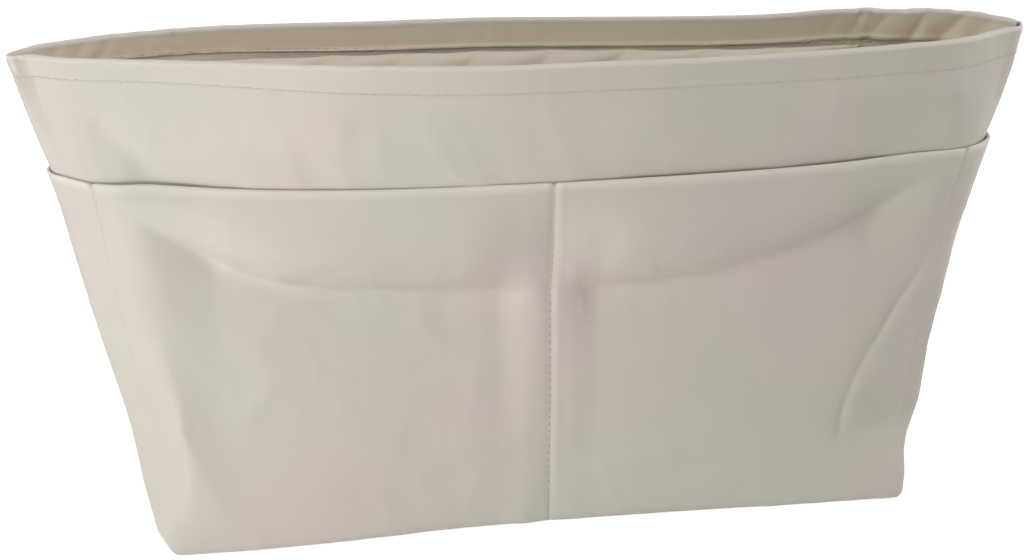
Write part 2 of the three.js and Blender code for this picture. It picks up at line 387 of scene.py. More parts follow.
class BagShapeSettings(bpy.types.PropertyGroup):
    """Sizes of the sewn bag."""

    rim_width: length_setting(
        "Rim width", "Width of the open rim, from side seam to side seam", 300 * MM
    )
    rim_depth: length_setting("Rim depth", "Depth of the open rim, from front to back", 64 * MM)
    base_width: length_setting("Base width", "Width of the boxed base", 228 * MM)
    base_depth: length_setting("Base depth", "Depth of the boxed base", 60 * MM)
    height: length_setting("Height", "Height of the rim above the floor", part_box("front_panel")[1].z)
    pocket_mouth: length_setting(
        "Pocket mouth height",
        "Height of the outer pockets' folded mouth",
        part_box("front_left_pocket")[1].z,
    )
    inner_foot: length_setting(
        "Inner pocket foot height",
        "Height of the inner pockets' sewn foot",
        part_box("inner_front_pocket")[0].z,
    )
    inner_mouth: length_setting(
        "Inner pocket mouth height",
        "Height of the inner pockets' folded mouth",
        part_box("inner_front_pocket")[1].z,
    )
    hem_depth: length_setting("Hem depth", "Depth of the rim's hem on the inside", 9 * MM)
    hem_stitch: length_setting(
        "Hem stitch length", "Length of one stitch and its gap along the hem", 2.95 * MM
    )
    pocket_stitch: length_setting(
        "Pocket stitch length", "Length of one stitch and its gap on the pockets", 2.45 * MM
    )


class BagFinishSettings(bpy.types.PropertyGroup):
    """Colours and weave of the bag's materials."""

    nylon: tint_setting("Outer nylon", "Colour of the panels and the outer pockets", 214, 207, 197)
    lining: tint_setting("Lining nylon", "Colour of the lining and the inner pockets", 236, 228, 211)
    thread: tint_setting("Thread", "Colour of the sewing thread", 214, 207, 197)
    felt: tint_setting("Felt", "Colour of the interlining between cloth and lining", 226, 222, 214)
    board: tint_setting("Board", "Colour of the base board", 88, 84, 78)
    weave: length_setting("Weave pitch", "Distance between two threads of the nylon", 0.6 * MM)


class BagStageSettings(bpy.types.PropertyGroup):
    """Camera and studio light."""

    lens: bpy.props.FloatProperty(
        name="Lens",
        description="Focal length on a 36 mm wide sensor",
        default=55.69,
        unit="CAMERA",
    )
    camera_turn: angle_setting(
        "Camera turn", "How far the camera stands to the left of the bag's front", 9.223
    )
    camera_distance: length_setting(
        "Camera distance", "Distance on the floor from the bag's middle to the camera", 459.65 * MM
    )
    camera_height: length_setting("Camera height", "Height of the camera above the floor", 249.3 * MM)
    camera_dip: angle_setting("Camera dip", "How far the camera looks down", 21.299)
    camera_swing: angle_setting(
        "Camera swing", "How far the camera looks to the left of the bag's middle", 0.910
    )
    key_power: power_setting("Key light", "Power of the large lamp at the upper left", 4.5)
    bounce_power: power_setting("Bounce light", "Power of the low card at the left", 1.35)
    top_power: power_setting("Top light", "Power of the wide lamp overhead", 1.5)
    side_power: power_setting("Side light", "Power of the lamp at the right", 5.3)
    back_power: power_setting("Back light", "Power of the lamp behind the bag", 2.5)
    room_light: bpy.props.FloatProperty(
        name="Room light",
        description="Strength of the even light from all round",
        default=0.01,
    )


class BagWall:
    """The bag's outer wall as a formula, sampled so that it can be measured along the cloth."""

    def __init__(self, shape):
        self.height = shape.height
        self.levels = np.linspace(0.0, self.height, WALL_LEVELS)
        rows = [self.quarter(shape, rise) for rise in np.linspace(0.0, 1.0, WALL_LEVELS)]
        self.girths = np.array([girth for girth, _ in rows])
        self.table = np.array([columns for _, columns in rows])
        self.facets = [self.facet(*corner) for corner in CORNER_FACETS]

    def quarter(self, shape, rise):
        """Girth and evenly spaced plan points of a quarter wall, from the middle to the side seam."""
        boxed = (1.0 - rise) ** BOX_FADE
        half_width = (shape.base_width + (shape.rim_width - shape.base_width) * rise) / 2
        half_depth = (shape.base_depth + (shape.rim_depth - shape.base_depth) * rise) / 2
        sharp = (1.0 - rise) ** FOOT_FADE
        power_x = OVAL_POWER + (BOX_POWER_ALONG - OVAL_POWER) * boxed + FOOT_POWER_ALONG * sharp
        power_y = OVAL_POWER + (BOX_POWER_ACROSS - OVAL_POWER) * boxed + FOOT_POWER_ACROSS * sharp
        turn = np.linspace(0.0, math.pi / 2, CURVE_STEPS)
        x = half_width * np.sin(turn) ** (2 / power_x)
        y = half_depth * np.append(np.cos(turn[:-1]), 0.0) ** (2 / power_y)
        slope_x = power_x / half_width * (x / half_width) ** (power_x - 1)
        slope_y = power_y / half_depth * (y / half_depth) ** (power_y - 1)
        steep = np.hypot(slope_x, slope_y)
        along = lengths_along(np.stack((x, y), axis=1))
        even = np.linspace(0.0, along[-1], WALL_STATIONS)
        squared = smooth(boxed, *BOX_SQUARED)
        out_x = slope_x / steep * (1.0 - squared) + x / half_width * squared
        out_y = slope_y / steep * (1.0 - squared) + y / half_depth * squared
        columns = (x, y, out_x, out_y)
        return along[-1], np.array([np.interp(even, along, column) for column in columns])

    def girth(self, z):
        """Length of cloth from the middle of a half to its side seam at a height."""
        return np.interp(z, self.levels, self.girths)

    def plan(self, share, z):
        """Plan point and outward direction at a share of the quarter girth."""
        level = np.clip(z / self.height, 0.0, 1.0) * (WALL_LEVELS - 1)
        station = np.clip(share, 0.0, 1.0) * (WALL_STATIONS - 1)
        low = np.minimum(level.astype(int), WALL_LEVELS - 2)
        left = np.minimum(station.astype(int), WALL_STATIONS - 2)
        up, on = (level - low)[:, None], (station - left)[:, None]

        def between(row):
            return self.table[row, :, left] * (1 - on) + self.table[row, :, left + 1] * on

        return (between(low) * (1 - up) + between(low + 1) * up).T

    def depth_at(self, x, z):
        """Depth of the front wall below the middle line at a place across it."""
        shares = np.linspace(0.0, 1.0, WALL_STATIONS)
        xs, ys, _, _ = self.plan(shares, np.full(WALL_STATIONS, z))
        return float(np.interp(abs(x), xs, ys))

    def facet(self, top, foot, reach):
        """Point and outward normal of the plane that flattens a corner."""
        side = math.copysign(1.0, top[0])
        foot_end = float(self.plan(np.array([1.0]), np.array([foot[1]]))[0][0])
        upper = Vector((top[0], -self.depth_at(*top), top[1]))
        lower = Vector((foot[0], -self.depth_at(*foot), foot[1]))
        round_end = Vector((side * foot_end, -reach, foot[1]))
        normal = (upper - lower).cross(round_end - lower).normalized()
        return lower, normal if normal.y < 0 else -normal

    def flatten(self, x, y, z):
        """Plan points with the corners cut flat, on the front and, turned half round, on the back."""
        for point, normal in self.facets:
            level = math.hypot(normal.x, normal.y)
            for turn in SIDES[::-1]:
                away = (turn * x - point.x) * normal.x + (turn * y - point.y) * normal.y
                away = away + (z - point.z) * normal.z
                cut = over(away, FACET_ROUNDING) * smooth(z, 0.0, FACET_FOOT) / level**2
                x = x - turn * cut * normal.x
                y = y - turn * cut * normal.y
        return x, y

    def stretch(self, x, z, half_width):
        """Places across the bag with its rim's tips drawn out and its ends pulled."""
        to_rim = smooth(z, TIP_SPREAD_FOOT, self.height)
        for side, spread in TIP_SPREAD.items():
            x = x + side * spread * to_rim * smooth(side * x, TIP_SPREAD_START, self.table[-1, 0, -1])
        for side, middle, spread, pull in SIDE_PULLS:
            reach = smooth(side * x, SIDE_PULL_START, half_width) * smooth(z, 0.0, SIDE_PULL_FOOT)
            x = x + side * pull * bump(z, middle, spread) * reach
        return x

    def front_sink(self, x, z):
        """How far the front wall sinks in its crease, valley and folds, less where it swells out."""
        sink = self.crease_dip(x, z) + self.valley(x, z)
        sink = sink - CORNER_FLARE * smooth(-x, *FLARE_ACROSS) * (1.0 - smooth(z, *FLARE_UP))
        for across, across_spread, up, up_spread, depth in WALL_SWELLS:
            swell = bump(x, across * MM, across_spread * MM) * bump(z, up * MM, up_spread * MM)
            sink = sink + depth * MM * swell
        for start, end, spread, depth in FRONT_FOLDS + WALL_HOLLOWS:
            sink = sink + depth * MM * fold(x, z, start, end, spread)
        return sink

    def settle(self, x, y, z):
        """Where the soft wall comes to rest: flat at the corners, bowed at the base, pushed at the rim."""
        half_width = np.interp(z, self.levels, self.table[:, 0, -1])
        x, y = self.flatten(x, y, z)
        tip = np.sqrt(np.clip((half_width - np.abs(x)) / TIP_REACH, 0.0, 1.0))
        x = self.stretch(x, z, half_width)
        to_back = smooth(y, -SIDE_MIX, SIDE_MIX)
        shares = {FRONT: 1.0 - to_back, BACK: to_back}
        bow = BASE_BOW * np.clip(1.0 - (x / self.girths[0]) ** 2, 0.0, 1.0)
        bow = bow * (1.0 - smooth(z, 0.0, BASE_BOW_HEIGHT))
        y = y + bow * (shares[FRONT] - shares[BACK])
        for half, middle, spread, push, start in RIM_PUSHES:
            y = y + push * bump(x, middle, spread) * smooth(z, start, self.height) * shares[half] * tip
        return x, y + self.front_sink(x, z) * shares[FRONT]

    def valley(self, x, z):
        """How far the front sinks along the valley that the pockets hang over."""
        above = z - drape_line(x)
        depth = np.where(above < 0.0, np.exp(above / VALLEY_BELOW), np.exp(-above / VALLEY_ABOVE))
        ends = 1.0 - smooth(np.abs(x), *VALLEY_ENDS)
        sink = np.interp(x, (-VALLEY_MIDDLE, VALLEY_MIDDLE), VALLEY_SINKS)
        caught = VALLEY_CAUGHT + (1.0 - VALLEY_CAUGHT) * smooth(np.abs(x), *VALLEY_CAUGHT_REACH)
        return sink * caught * np.minimum(depth, 1.0) * smooth(z, 0.0, VALLEY_FOOT) * ends

    def crease_dip(self, x, z):
        """How far the front sinks along the crease: gently from the front, steeply from the facet."""
        upper = over(CREASE_UPPER_SLOPE * (z - CREASE_UPPER_TURN), CREASE_ROUNDING)
        lower = over(CREASE_LOWER_SLOPE * (CREASE_LOWER_TURN - z), CREASE_ROUNDING)
        apart = (CREASE_X + upper + lower - x) / math.hypot(1.0, CREASE_UPPER_SLOPE)
        reach = np.where(apart > 0.0, CREASE_FRONT_REACH, CREASE_FACET_REACH)
        strength = smooth(z, *CREASE_FADES_IN) * (1.0 - smooth(z, *CREASE_FADES_OUT))
        return CREASE_DIP * strength * np.exp(-np.abs(apart) / reach)

    def place(self, along, z, inset, half):
        """Points of a layer: along is a share of a half's girth, from -1 to 1 at its side seams."""
        side = np.sign(along)
        x, y, out_x, out_y = self.plan(np.abs(along), z)
        turn = 1.0 if half == FRONT else -1.0
        out_x, out_y = turn * side * out_x, -turn * out_y
        inset = inset + FOOT_TUCK * (1.0 - np.clip(z / FOOT_TUCK_HEIGHT, 0.0, 1.0)) ** 2
        x, y = self.settle(turn * side * x, -turn * (y + SEAM_GAP / 2), z)
        return np.stack((x - inset * out_x, y - inset * out_y, z), axis=1)


def hem_rise(x):
    """How far the hem's stitching lies above its middle height across the bag."""
    left = HEM_RISE_LEFT * smooth(-x, 20 * MM, 130 * MM)
    return left - HEM_DROP_RIGHT * smooth(x, 60 * MM, 130 * MM)


def drape_line(x):
    """Height of the soft valley where a pocket's upper band leans out."""
    return np.interp(x / MM, *zip(*DRAPE_POINTS)) * MM


def pucker(along):
    """Uneven ripples that sewing draws into the cloth, from -1 to 1."""
    wander = 1.7 * np.sin(along / (9.7 * MM)) + 1.1 * np.sin(along / (4.3 * MM) + 1.3)
    swell = 0.55 + 0.45 * np.sin(along / (17.0 * MM) + 0.7)
    return np.sin(along / (1.25 * MM) + wander) * swell


def scattered(across, up, size, seed):
    """Smooth noise from 0 to 1, with lumps of a size."""
    table = np.random.default_rng(seed).random(NOISE_CELLS)
    u, v = across / size + NOISE_SHIFT, up / size + NOISE_SHIFT
    left, low = np.floor(u).astype(int), np.floor(v).astype(int)
    on, over_low = smooth(u - left, 0.0, 1.0), smooth(v - low, 0.0, 1.0)

    def between(row):
        here, there = (table[column % NOISE_CELLS[0], row % NOISE_CELLS[1]] for column in (left, left + 1))
        return here * (1 - on) + there * on

    return between(low) * (1 - over_low) + between(low + 1) * over_low


def crumple(x, z):
    """Fine creases of handled cloth, from 0 to 1."""
    total = np.zeros_like(x)
    for size, share, seed in ((26 * MM, 0.55, 3), (13 * MM, 0.3, 5), (6.5 * MM, 0.15, 8)):
        lumps = scattered(x + 0.35 * z, z - 0.25 * x, size, seed)
        total = total + share * (1.0 - np.abs(2.0 * lumps - 1.0)) ** 2
    return total


def softness(x, z):
    """Slow swells of slack cloth, from 0 to 1."""
    wave = np.sin(x / (23 * MM) + 1.3 * np.sin(z / (31 * MM)))
    cross = np.sin(z / (19 * MM) + 1.7 * np.sin(x / (41 * MM) + 0.5))
    return 0.5 + 0.25 * (wave + cross)


def faint_row(z):
    """Strength of the painted needle-hole shade along a corner row: plain near the mouth, faint below."""
    return 0.5 * smooth(z, 84 * MM, 112 * MM)


def mirrored(line, side):
    """A line of shares of the half girth, on the right for a side of 1 and on the left for -1."""
    return lambda z: side * line(z)


def deselect():
    """Leaves no object selected, so that an operator acts on the new piece alone."""
    for chosen in list(bpy.context.selected_objects):
        chosen.select_set(False)


def apply_modifier(piece, kind, **settings):
    """Adds a modifier with its settings and applies it."""
    modifier = piece.modifiers.new(kind.title(), kind)
    for name, value in settings.items():
        setattr(modifier, name, value)
    bpy.context.view_layer.objects.active = piece
    bpy.ops.object.modifier_apply(modifier=modifier.name)


def smooth_shading(piece):
    """Shades a piece smooth, with its sharp edges kept."""
    deselect()
    piece.select_set(True)
    bpy.context.view_layer.objects.active = piece
    bpy.ops.object.shade_smooth_by_angle(angle=SHARP_ANGLE)
    piece.select_set(False)


def cut_sheet(name, columns, rows, lay, thickness):
    """Adds a grid, lays its points with lay(across, row) and gives the cloth its thickness."""
    deselect()
    bpy.ops.mesh.primitive_grid_add(
        x_subdivisions=columns, y_subdivisions=rows, size=2.0, location=(0.0, 0.0, 0.0)
    )
    piece = bpy.context.object
    piece.name = name
    mesh = piece.data
    mesh.name = name
    flat = np.empty(len(mesh.vertices) * 3)
    mesh.vertices.foreach_get("co", flat)
    flat = flat.reshape(-1, 3)
    across = (flat[:, 0] + 1.0) / 2.0
    row = np.rint((flat[:, 1] + 1.0) / 2.0 * rows).astype(int)
    points, cloth, shade, phase = lay(across, row)
    mesh.vertices.foreach_set("co", points.ravel())
    corners = np.empty(len(mesh.loops), dtype=int)
    mesh.loops.foreach_get("vertex_index", corners)
    mesh.uv_layers[0].name = "cloth"
    mesh.uv_layers[0].data.foreach_set("uv", cloth[corners].ravel())
    # The seam attribute carries painted shade where positive and painted highlight where negative; the
    # stitch attribute places the needle holes
    for attribute, values in (("seam", shade), ("stitch", phase)):
        layer = mesh.attributes.new(attribute, "FLOAT", "POINT")
        layer.data.foreach_set("value", values.astype(np.float32))
    mesh.update()
    apply_modifier(piece, "SOLIDIFY", thickness=thickness, offset=-1.0)
    smooth_shading(piece)
    return piece


def on_wall(wall, along, z, inset, half):
    """Points on a layer and the way out from it."""
    points = wall.place(along, z, inset, half)
    outer = wall.place(along, z, inset - MM, half)
    return points, (outer - points) / MM


def stitch_count(length, pitch):
    """Number of stitches in a row of a length."""
    return max(2, int(round(length / pitch)))


def stitch_phase(points, pitch):
    """Stitches sewn so far at each point of a row, whole at each needle hole."""
    along = lengths_along(points)
    return along / along[-1] * stitch_count(along[-1], pitch)


class Path:
    """Rows of a sheet, from its foot to its last edge: heights, insets and the way each row faces."""

    def __init__(self, rows):
        self.z, self.inset, self.facing = np.array(rows).T
        self.along = lengths_along(np.stack((self.z, self.inset), axis=1))
        self.count = len(self.z) - 1


def folded_path(up, top, radius, inset, down, steps):
    """Rows that climb through heights up, turn over a fold of that radius and go down through heights."""
    rows = [(z, inset, 1.0) for z in up]
    for turn in np.linspace(0.0, math.pi, steps + 1):
        height = top - radius + radius * math.sin(turn)
        rows.append((height, inset + radius * (1 - math.cos(turn)), math.cos(turn)))
    rows += [(z, inset + 2 * radius, -1.0) for z in down]
    return Path(rows)


def panel_path(shape):
    """Rows of an outer panel: up the wall, over the rim and down the hem."""
    mouth = shape.pocket_mouth
    hidden = np.linspace(WALL_FOOT, mouth - 9 * MM, 18)
    behind_mouth = np.linspace(mouth - 8 * MM, mouth + 1.5 * MM, 34)
    shown = np.linspace(mouth + 2.5 * MM, HEM_LINE - 2.2 * MM, 20)
    seam = HEM_LINE + SEAM_ROWS
    hem = np.linspace(HEM_LINE + 2 * MM, shape.height - HEM_RADIUS - 0.6 * MM, 6)
    outside = np.concatenate((hidden, behind_mouth, shown, seam, hem))
    edge = np.linspace(HEM_LINE - 0.5 * MM, shape.height - shape.hem_depth, 3)
    inside = np.concatenate((hem[::-1], seam[::-1][:-2], edge))
    return folded_path(outside, shape.height, HEM_RADIUS, 0.0, inside, 10)


def hem_track(wall, shape, half, inset):
    """Shares of the half girth, points and the way out along the hem's stitching."""
    along = np.linspace(-HEM_END, HEM_END, 1200)
    x = wall.place(along, np.full_like(along, shape.height), np.zeros_like(along), half)[:, 0]
    z = HEM_LINE + hem_rise(x)
    return along, *on_wall(wall, along, z, np.full_like(z, inset), half)


def gathering(x, half):
    """How far the hem is gathered across the bag, from 0 to 1."""
    if half == FRONT:
        return np.full_like(x, 0.12)
    return 0.15 + 0.85 * smooth(x, 82 * MM, 118 * MM) + 0.28 * bump(x, -118 * MM, 20 * MM)


def hem_lumps(cloth, z):
    """Small lumps and pleats of the gathered hem."""
    lumps = scattered(cloth, 0.3 * z, 4.2 * MM, 21) + 0.5 * scattered(cloth, 0.2 * z, 2.1 * MM, 22)
    turns = (cloth + 0.7 * z) / PLEAT_PITCH + 2.4 * scattered(cloth, 0.2 * z, 16 * MM, 23)
    pleats = np.abs(np.sin(math.pi * turns)) * (0.4 + scattered(cloth, 0.1 * z, 13 * MM, 24))
    return lumps, pleats


def sewn_panel(wall, shape, half):
    """One outer panel with its hem turned over the rim."""
    path = panel_path(shape)
    pocket = OuterPocket(wall, shape, half)
    shares, track, _ = hem_track(wall, shape, half, 0.0)
    phases = stitch_phase(track, shape.hem_stitch)
    edge = shape.height - shape.hem_depth + 0.5 * MM

    def lay(across, row):
        along = 2.0 * across - 1.0
        z, inset, facing = path.z[row], path.inset[row], path.facing[row]
        cloth = along * wall.girth(z)
        x = wall.place(along, z, np.zeros_like(z), half)[:, 0]
        inside = smooth(-facing, 0.5, 1.0)
        near_stitch = bump(z, HEM_LINE, GROOVE_SPREAD) * np.abs(facing)
        # Painted shade of the hem's needle holes along the stitched row
        painted_hole_shade = bump(z, HEM_LINE, HOLE_SPREAD) * np.abs(facing)
        near_hem = smooth(z, HEM_LINE - 3 * PUCKER_REACH, HEM_LINE)
        z = z + hem_rise(x) * bump(z, HEM_LINE, HEM_ROW_REACH / 3)
        below_hem = 1.0 - smooth(z, HEM_LINE - 8 * MM, HEM_LINE)
        to_seam = wall.girth(z) - np.abs(cloth)
        near_seam = bump(to_seam, 0.0, SEAM_SPREAD) * below_hem
        pinch = HEM_PINCH * (1.0 - smooth(to_seam, 0.0, PINCH_REACH)) * smooth(z, HEM_LINE, PINCH_TOP)
        tick = bump(np.abs(x), INNER_POCKET_HALF, TICK_SPREAD) * inside
        gathered = gathering(x, half)
        lumps, pleats = hem_lumps(cloth, z)
        gather = smooth(-facing, -0.3, 0.6) * (0.4 * lumps + 1.1 * pleats) * gathered * MM
        bead = EDGE_BEAD * bump(z, edge, EDGE_BEAD_SPREAD) * inside
        ripple = pucker(cloth) * near_hem * PUCKER_DEPTH
        tuck = SEAM_TURN * near_seam * facing - TICK_DEPTH * tick
        creases = CRUMPLE_DEPTH * (0.5 - crumple(cloth, z)) * smooth(facing, 0.0, 1.0)
        creases = creases * (1.0 - bump(z, HEM_LINE, 4 * MM))
        inset = inset * (1.0 - pinch) + facing * HEM_GROOVE * near_stitch
        inset = inset + ripple + gather + bead + tuck + creases
        wave = 0.12 * np.sin(cloth / (14 * MM) + np.sin(cloth / (31 * MM)))
        wave = wave + 0.7 * gathered * (lumps - 0.75)
        if half == BACK:
            wave = wave + 0.5 + 1.3 * bump(x, 103 * MM, 13 * MM)
        points = wall.place(along, z + wave * MM * near_hem, inset, half)
        shown = np.where(facing > 0.0, HEM_HOLE_PAINTED_SHADE, HEM_HOLE_PAINTED_SHADE_INSIDE)
        # Painted shadow on the panel in the gap behind a pocket's mouth; the phase is 0 there, so that the
        # shadow has its full strength
        below_mouth = shape.pocket_mouth - pocket.sag(along, z) - z
        gap = smooth(below_mouth, -0.35 * MM, 0.15 * MM) * (1.0 - smooth(below_mouth, 2 * MM, 6 * MM))
        gap = gap * PAINTED_GAP_SHADOW * (0.6 + 0.4 * scattered(cloth, z, 17 * MM, 31))
        # Painted shade of the needle holes, the tick's groove, the side seams' crease and the gap behind
        # the pockets, kept as the seam attribute
        shade = np.maximum.reduce((shown * painted_hole_shade, 0.8 * tick, 0.3 * near_seam, gap))
        # Painted highlight along the rim's fold, stored as negative shade
        painted_highlight = RIM_PAINTED_HIGHLIGHT * smooth(z, shape.height - 1.5 * MM, shape.height - 0.3 * MM)
        phase = np.where(below_mouth > -1 * MM, 0.0, np.interp(along, shares, phases))
        return points, np.stack((cloth, path.along[row]), axis=1), shade - painted_highlight, phase

    return cut_sheet(f"{half}_panel_cloth", PANEL_COLUMNS, path.count, lay, CLOTH)


def plain_wall_sheet(wall, name, half, heights, inset, thickness):
    """A plain layer of the wall, between two heights."""

    def lay(across, row):
        along = 2.0 * across - 1.0
        z = heights[row]
        points = wall.place(along, z, np.full_like(z, inset), half)
        cloth = np.stack((along * wall.girth(z), z), axis=1)
        return points, cloth, np.zeros_like(z), np.full_like(z, 0.5)

    return cut_sheet(name, LAYER_COLUMNS, len(heights) - 1, lay, thickness)


class OuterPocket:
    """Measures of the outer pockets' cloth on one half of the bag."""

    def __init__(self, wall, shape, half):
        self.wall, self.shape, self.half = wall, shape, half
        mouth = shape.pocket_mouth
        rows_foot = np.array((0.25, 0.5, 0.8, 1.1, 1.5, 2.0, 2.6)) * MM
        rows_up = np.concatenate((rows_foot, np.linspace(3.4 * MM, mouth - 1.5 * MM, 83)))
        rows_down = np.linspace(mouth - 2 * MM, mouth - POCKET_FACING, 12)
        self.path = folded_path(rows_up, mouth, POCKET_FOLD_RADIUS, -CLOTH, rows_down, 8)

    def corner(self, z):
        """Share of the half girth at which the corner stitching lies."""
        rise = np.clip(z / self.shape.pocket_mouth, 0.0, 1.0)
        back = CORNER_STITCH_AT_FOOT + (CORNER_STITCH_AT_MOUTH - CORNER_STITCH_AT_FOOT) * rise
        return 1.0 - back / self.wall.girth(z)

    def split(self, z):
        """Share of the half girth at which the two parts of a pocket meet."""
        return POCKET_SPLIT / self.wall.girth(z)

    def lift(self, along, z):
        """How far the pocket's cloth stands off the panel."""
        girth, mouth = self.wall.girth(z), self.shape.pocket_mouth
        x = along * girth
        rise = np.clip(z / mouth, 0.0, 1.0)
        from_corner = (np.abs(along) - self.corner(z)) * girth
        to_corner, to_middle = np.abs(from_corner), np.abs(x)
        to_sewn = np.minimum(to_corner, to_middle)
        past = smooth(from_corner, 0.0, END_REACH)
        right = self.hand(along) > 0
        held = np.where(right, RIGHT_HOLD, 1.0) * (1.0 - smooth(to_corner, 0.0, SLACK_REACH))
        slack = smooth(to_middle, 0.0, SLACK_REACH) * (1.0 - held) * (1.0 - 0.8 * past)
        right_gap = POCKET_GAP[1.0] * (1.0 - np.exp(-to_sewn / POCKET_GAP_REACH))
        gap = np.where(right, right_gap, POCKET_GAP[-1.0] * self.hang(along, z))
        stand = 0.3 * MM * rise**2 + (1.0 - 0.6 * past) * gap * rise**3
        pouch_x = -POUCH_X if self.half == FRONT else POUCH_X
        stand = stand + POUCH_LIFT * bump(x, pouch_x, POUCH_SPREAD) * rise**6 + END_GAPE * past * rise**3
        above = z - drape_line(x)
        drawn_in = 1.0 - 0.9 * smooth(z, mouth - 22 * MM, mouth)
        ledge = 1.0 - np.exp(-over(above, LEDGE_ROUNDING) / LEDGE_WIDTH)
        ledge = POCKET_LEDGE * ledge * slack * drawn_in
        roll = -MOUTH_ROLL * np.clip((z - mouth) / MOUTH_ROLL_REACH + 1.0, 0.0, 1.0) ** 2
        lean = POCKET_TILT * over(above, DRAPE_ROUNDING) * slack
        swell = POCKET_SWELL * softness(x, z) * slack * smooth(z, 0.0, 20 * MM)
        creases = CRUMPLE_DEPTH * crumple(x, z) * smooth(to_sewn, 0.0, 8 * MM) * (1.0 - 0.7 * past)
        flat_mouth = 1.0 - 0.85 * smooth(z, mouth - 18 * MM, mouth)
        sewn_deep = np.where(to_middle < to_corner, 1.0, 0.35 * smooth(z, 80 * MM, mouth))
        groove = -POCKET_GROOVE * bump(to_sewn, 0.0, GROOVE_SPREAD) * sewn_deep
        ridge = 0.2 * MM * bump(x, 2.2 * MM, 1.1 * MM) * smooth(z, 4 * MM, 20 * MM)
        draw = 0.07 * MM * pucker(z) * bump(to_sewn, 2 * MM, 3 * MM)
        lift = LAYER_GAP + stand + ledge + (lean + swell + creases) * flat_mouth
        lift = lift + groove + ridge + draw + roll * slack
        if self.half == FRONT:
            for start, end, spread, depth in WALL_HOLLOWS:
                lift = lift + depth * MM * fold(x, z, start, end, spread)
        return lift

    def hand(self, along):
        """Which hand a place is on, seen from the front: 1 on the right, -1 on the left."""
        return np.where((along > 0) == (self.half == FRONT), 1.0, -1.0)

    def hang(self, along, z):
        """A curve between two sewn lines: 0 on both, 1 midway."""
        share = np.abs(along) / self.corner(z)
        return np.clip(1.0 - (2.0 * share - 1.0) ** 2, 0.0, 1.0)

    def sag(self, along, z):
        """How far the mouth hangs below its level height."""
        x = along * self.wall.girth(z)
        sag = np.where(self.hand(along) > 0, MOUTH_SAG[1.0], MOUTH_SAG[-1.0]) * self.hang(along, z)
        sag = sag + MOUTH_DROP * (1.0 - smooth(np.abs(x), *MOUTH_DROP_ENDS))
        if self.half == FRONT:
            for middle, spread, drop in END_SAGS:
                sag = sag + drop * bump(x, middle, spread)
        return sag

    def sewn_track(self, line, stands):
        """Heights and points along a sewn line, a share of the half girth by height."""
        z = np.linspace(STITCH_FOOT, self.shape.pocket_mouth - 1 * MM, 300)
        along = line(z)
        inset = -CLOTH - self.lift(along, z) - stands
        return z, *on_wall(self.wall, along, z, inset, self.half)

    def part(self, name, sewn, free, columns, strength):
        """A part of a pocket from its sewn line to a free one, each a share of the half girth by height."""
        wall, path, mouth = self.wall, self.path, self.shape.pocket_mouth
        from_left = np.mean(sewn(path.z)) < np.mean(free(path.z))
        heights, track, _ = self.sewn_track(sewn, 0.0)
        phases = stitch_phase(track, self.shape.pocket_stitch)

        def lay(across, row):
            z, inset = path.z[row], path.inset[row]
            share = (across if from_left else 1.0 - across) ** COLUMN_EASE
            along = sewn(z) + (free(z) - sewn(z)) * share
            girth = wall.girth(z)
            to_sewn = np.abs(along - sewn(z)) * girth
            near_mouth = smooth(z, 60 * MM, mouth)
            sag = self.sag(along, z) + MOUTH_NOTCH * bump(to_sewn, 0.0, GROOVE_SPREAD)
            points = wall.place(along, z - sag * near_mouth, inset - self.lift(along, z), self.half)
            cloth = np.stack((along * girth, path.along[row]), axis=1)
            # Painted shade of the needle holes along the sewn line
            painted_hole_shade = bump(to_sewn, 0.0, HOLE_SPREAD)
            shade = strength(z) * painted_hole_shade * (0.4 + 0.4 * smooth(z, STITCH_FOOT - 1 * MM, STITCH_FOOT))
            # Painted highlight along the mouth's fold, stored as negative shade
            painted_highlight = MOUTH_PAINTED_HIGHLIGHT * smooth(z, mouth - 2.6 * MM, mouth - 0.4 * MM) * smooth(to_sewn, 0.0, 2 * MM)
            return points, cloth, shade - painted_highlight, np.interp(z, heights, phases)

        return cut_sheet(name, columns, path.count, lay, CLOTH)


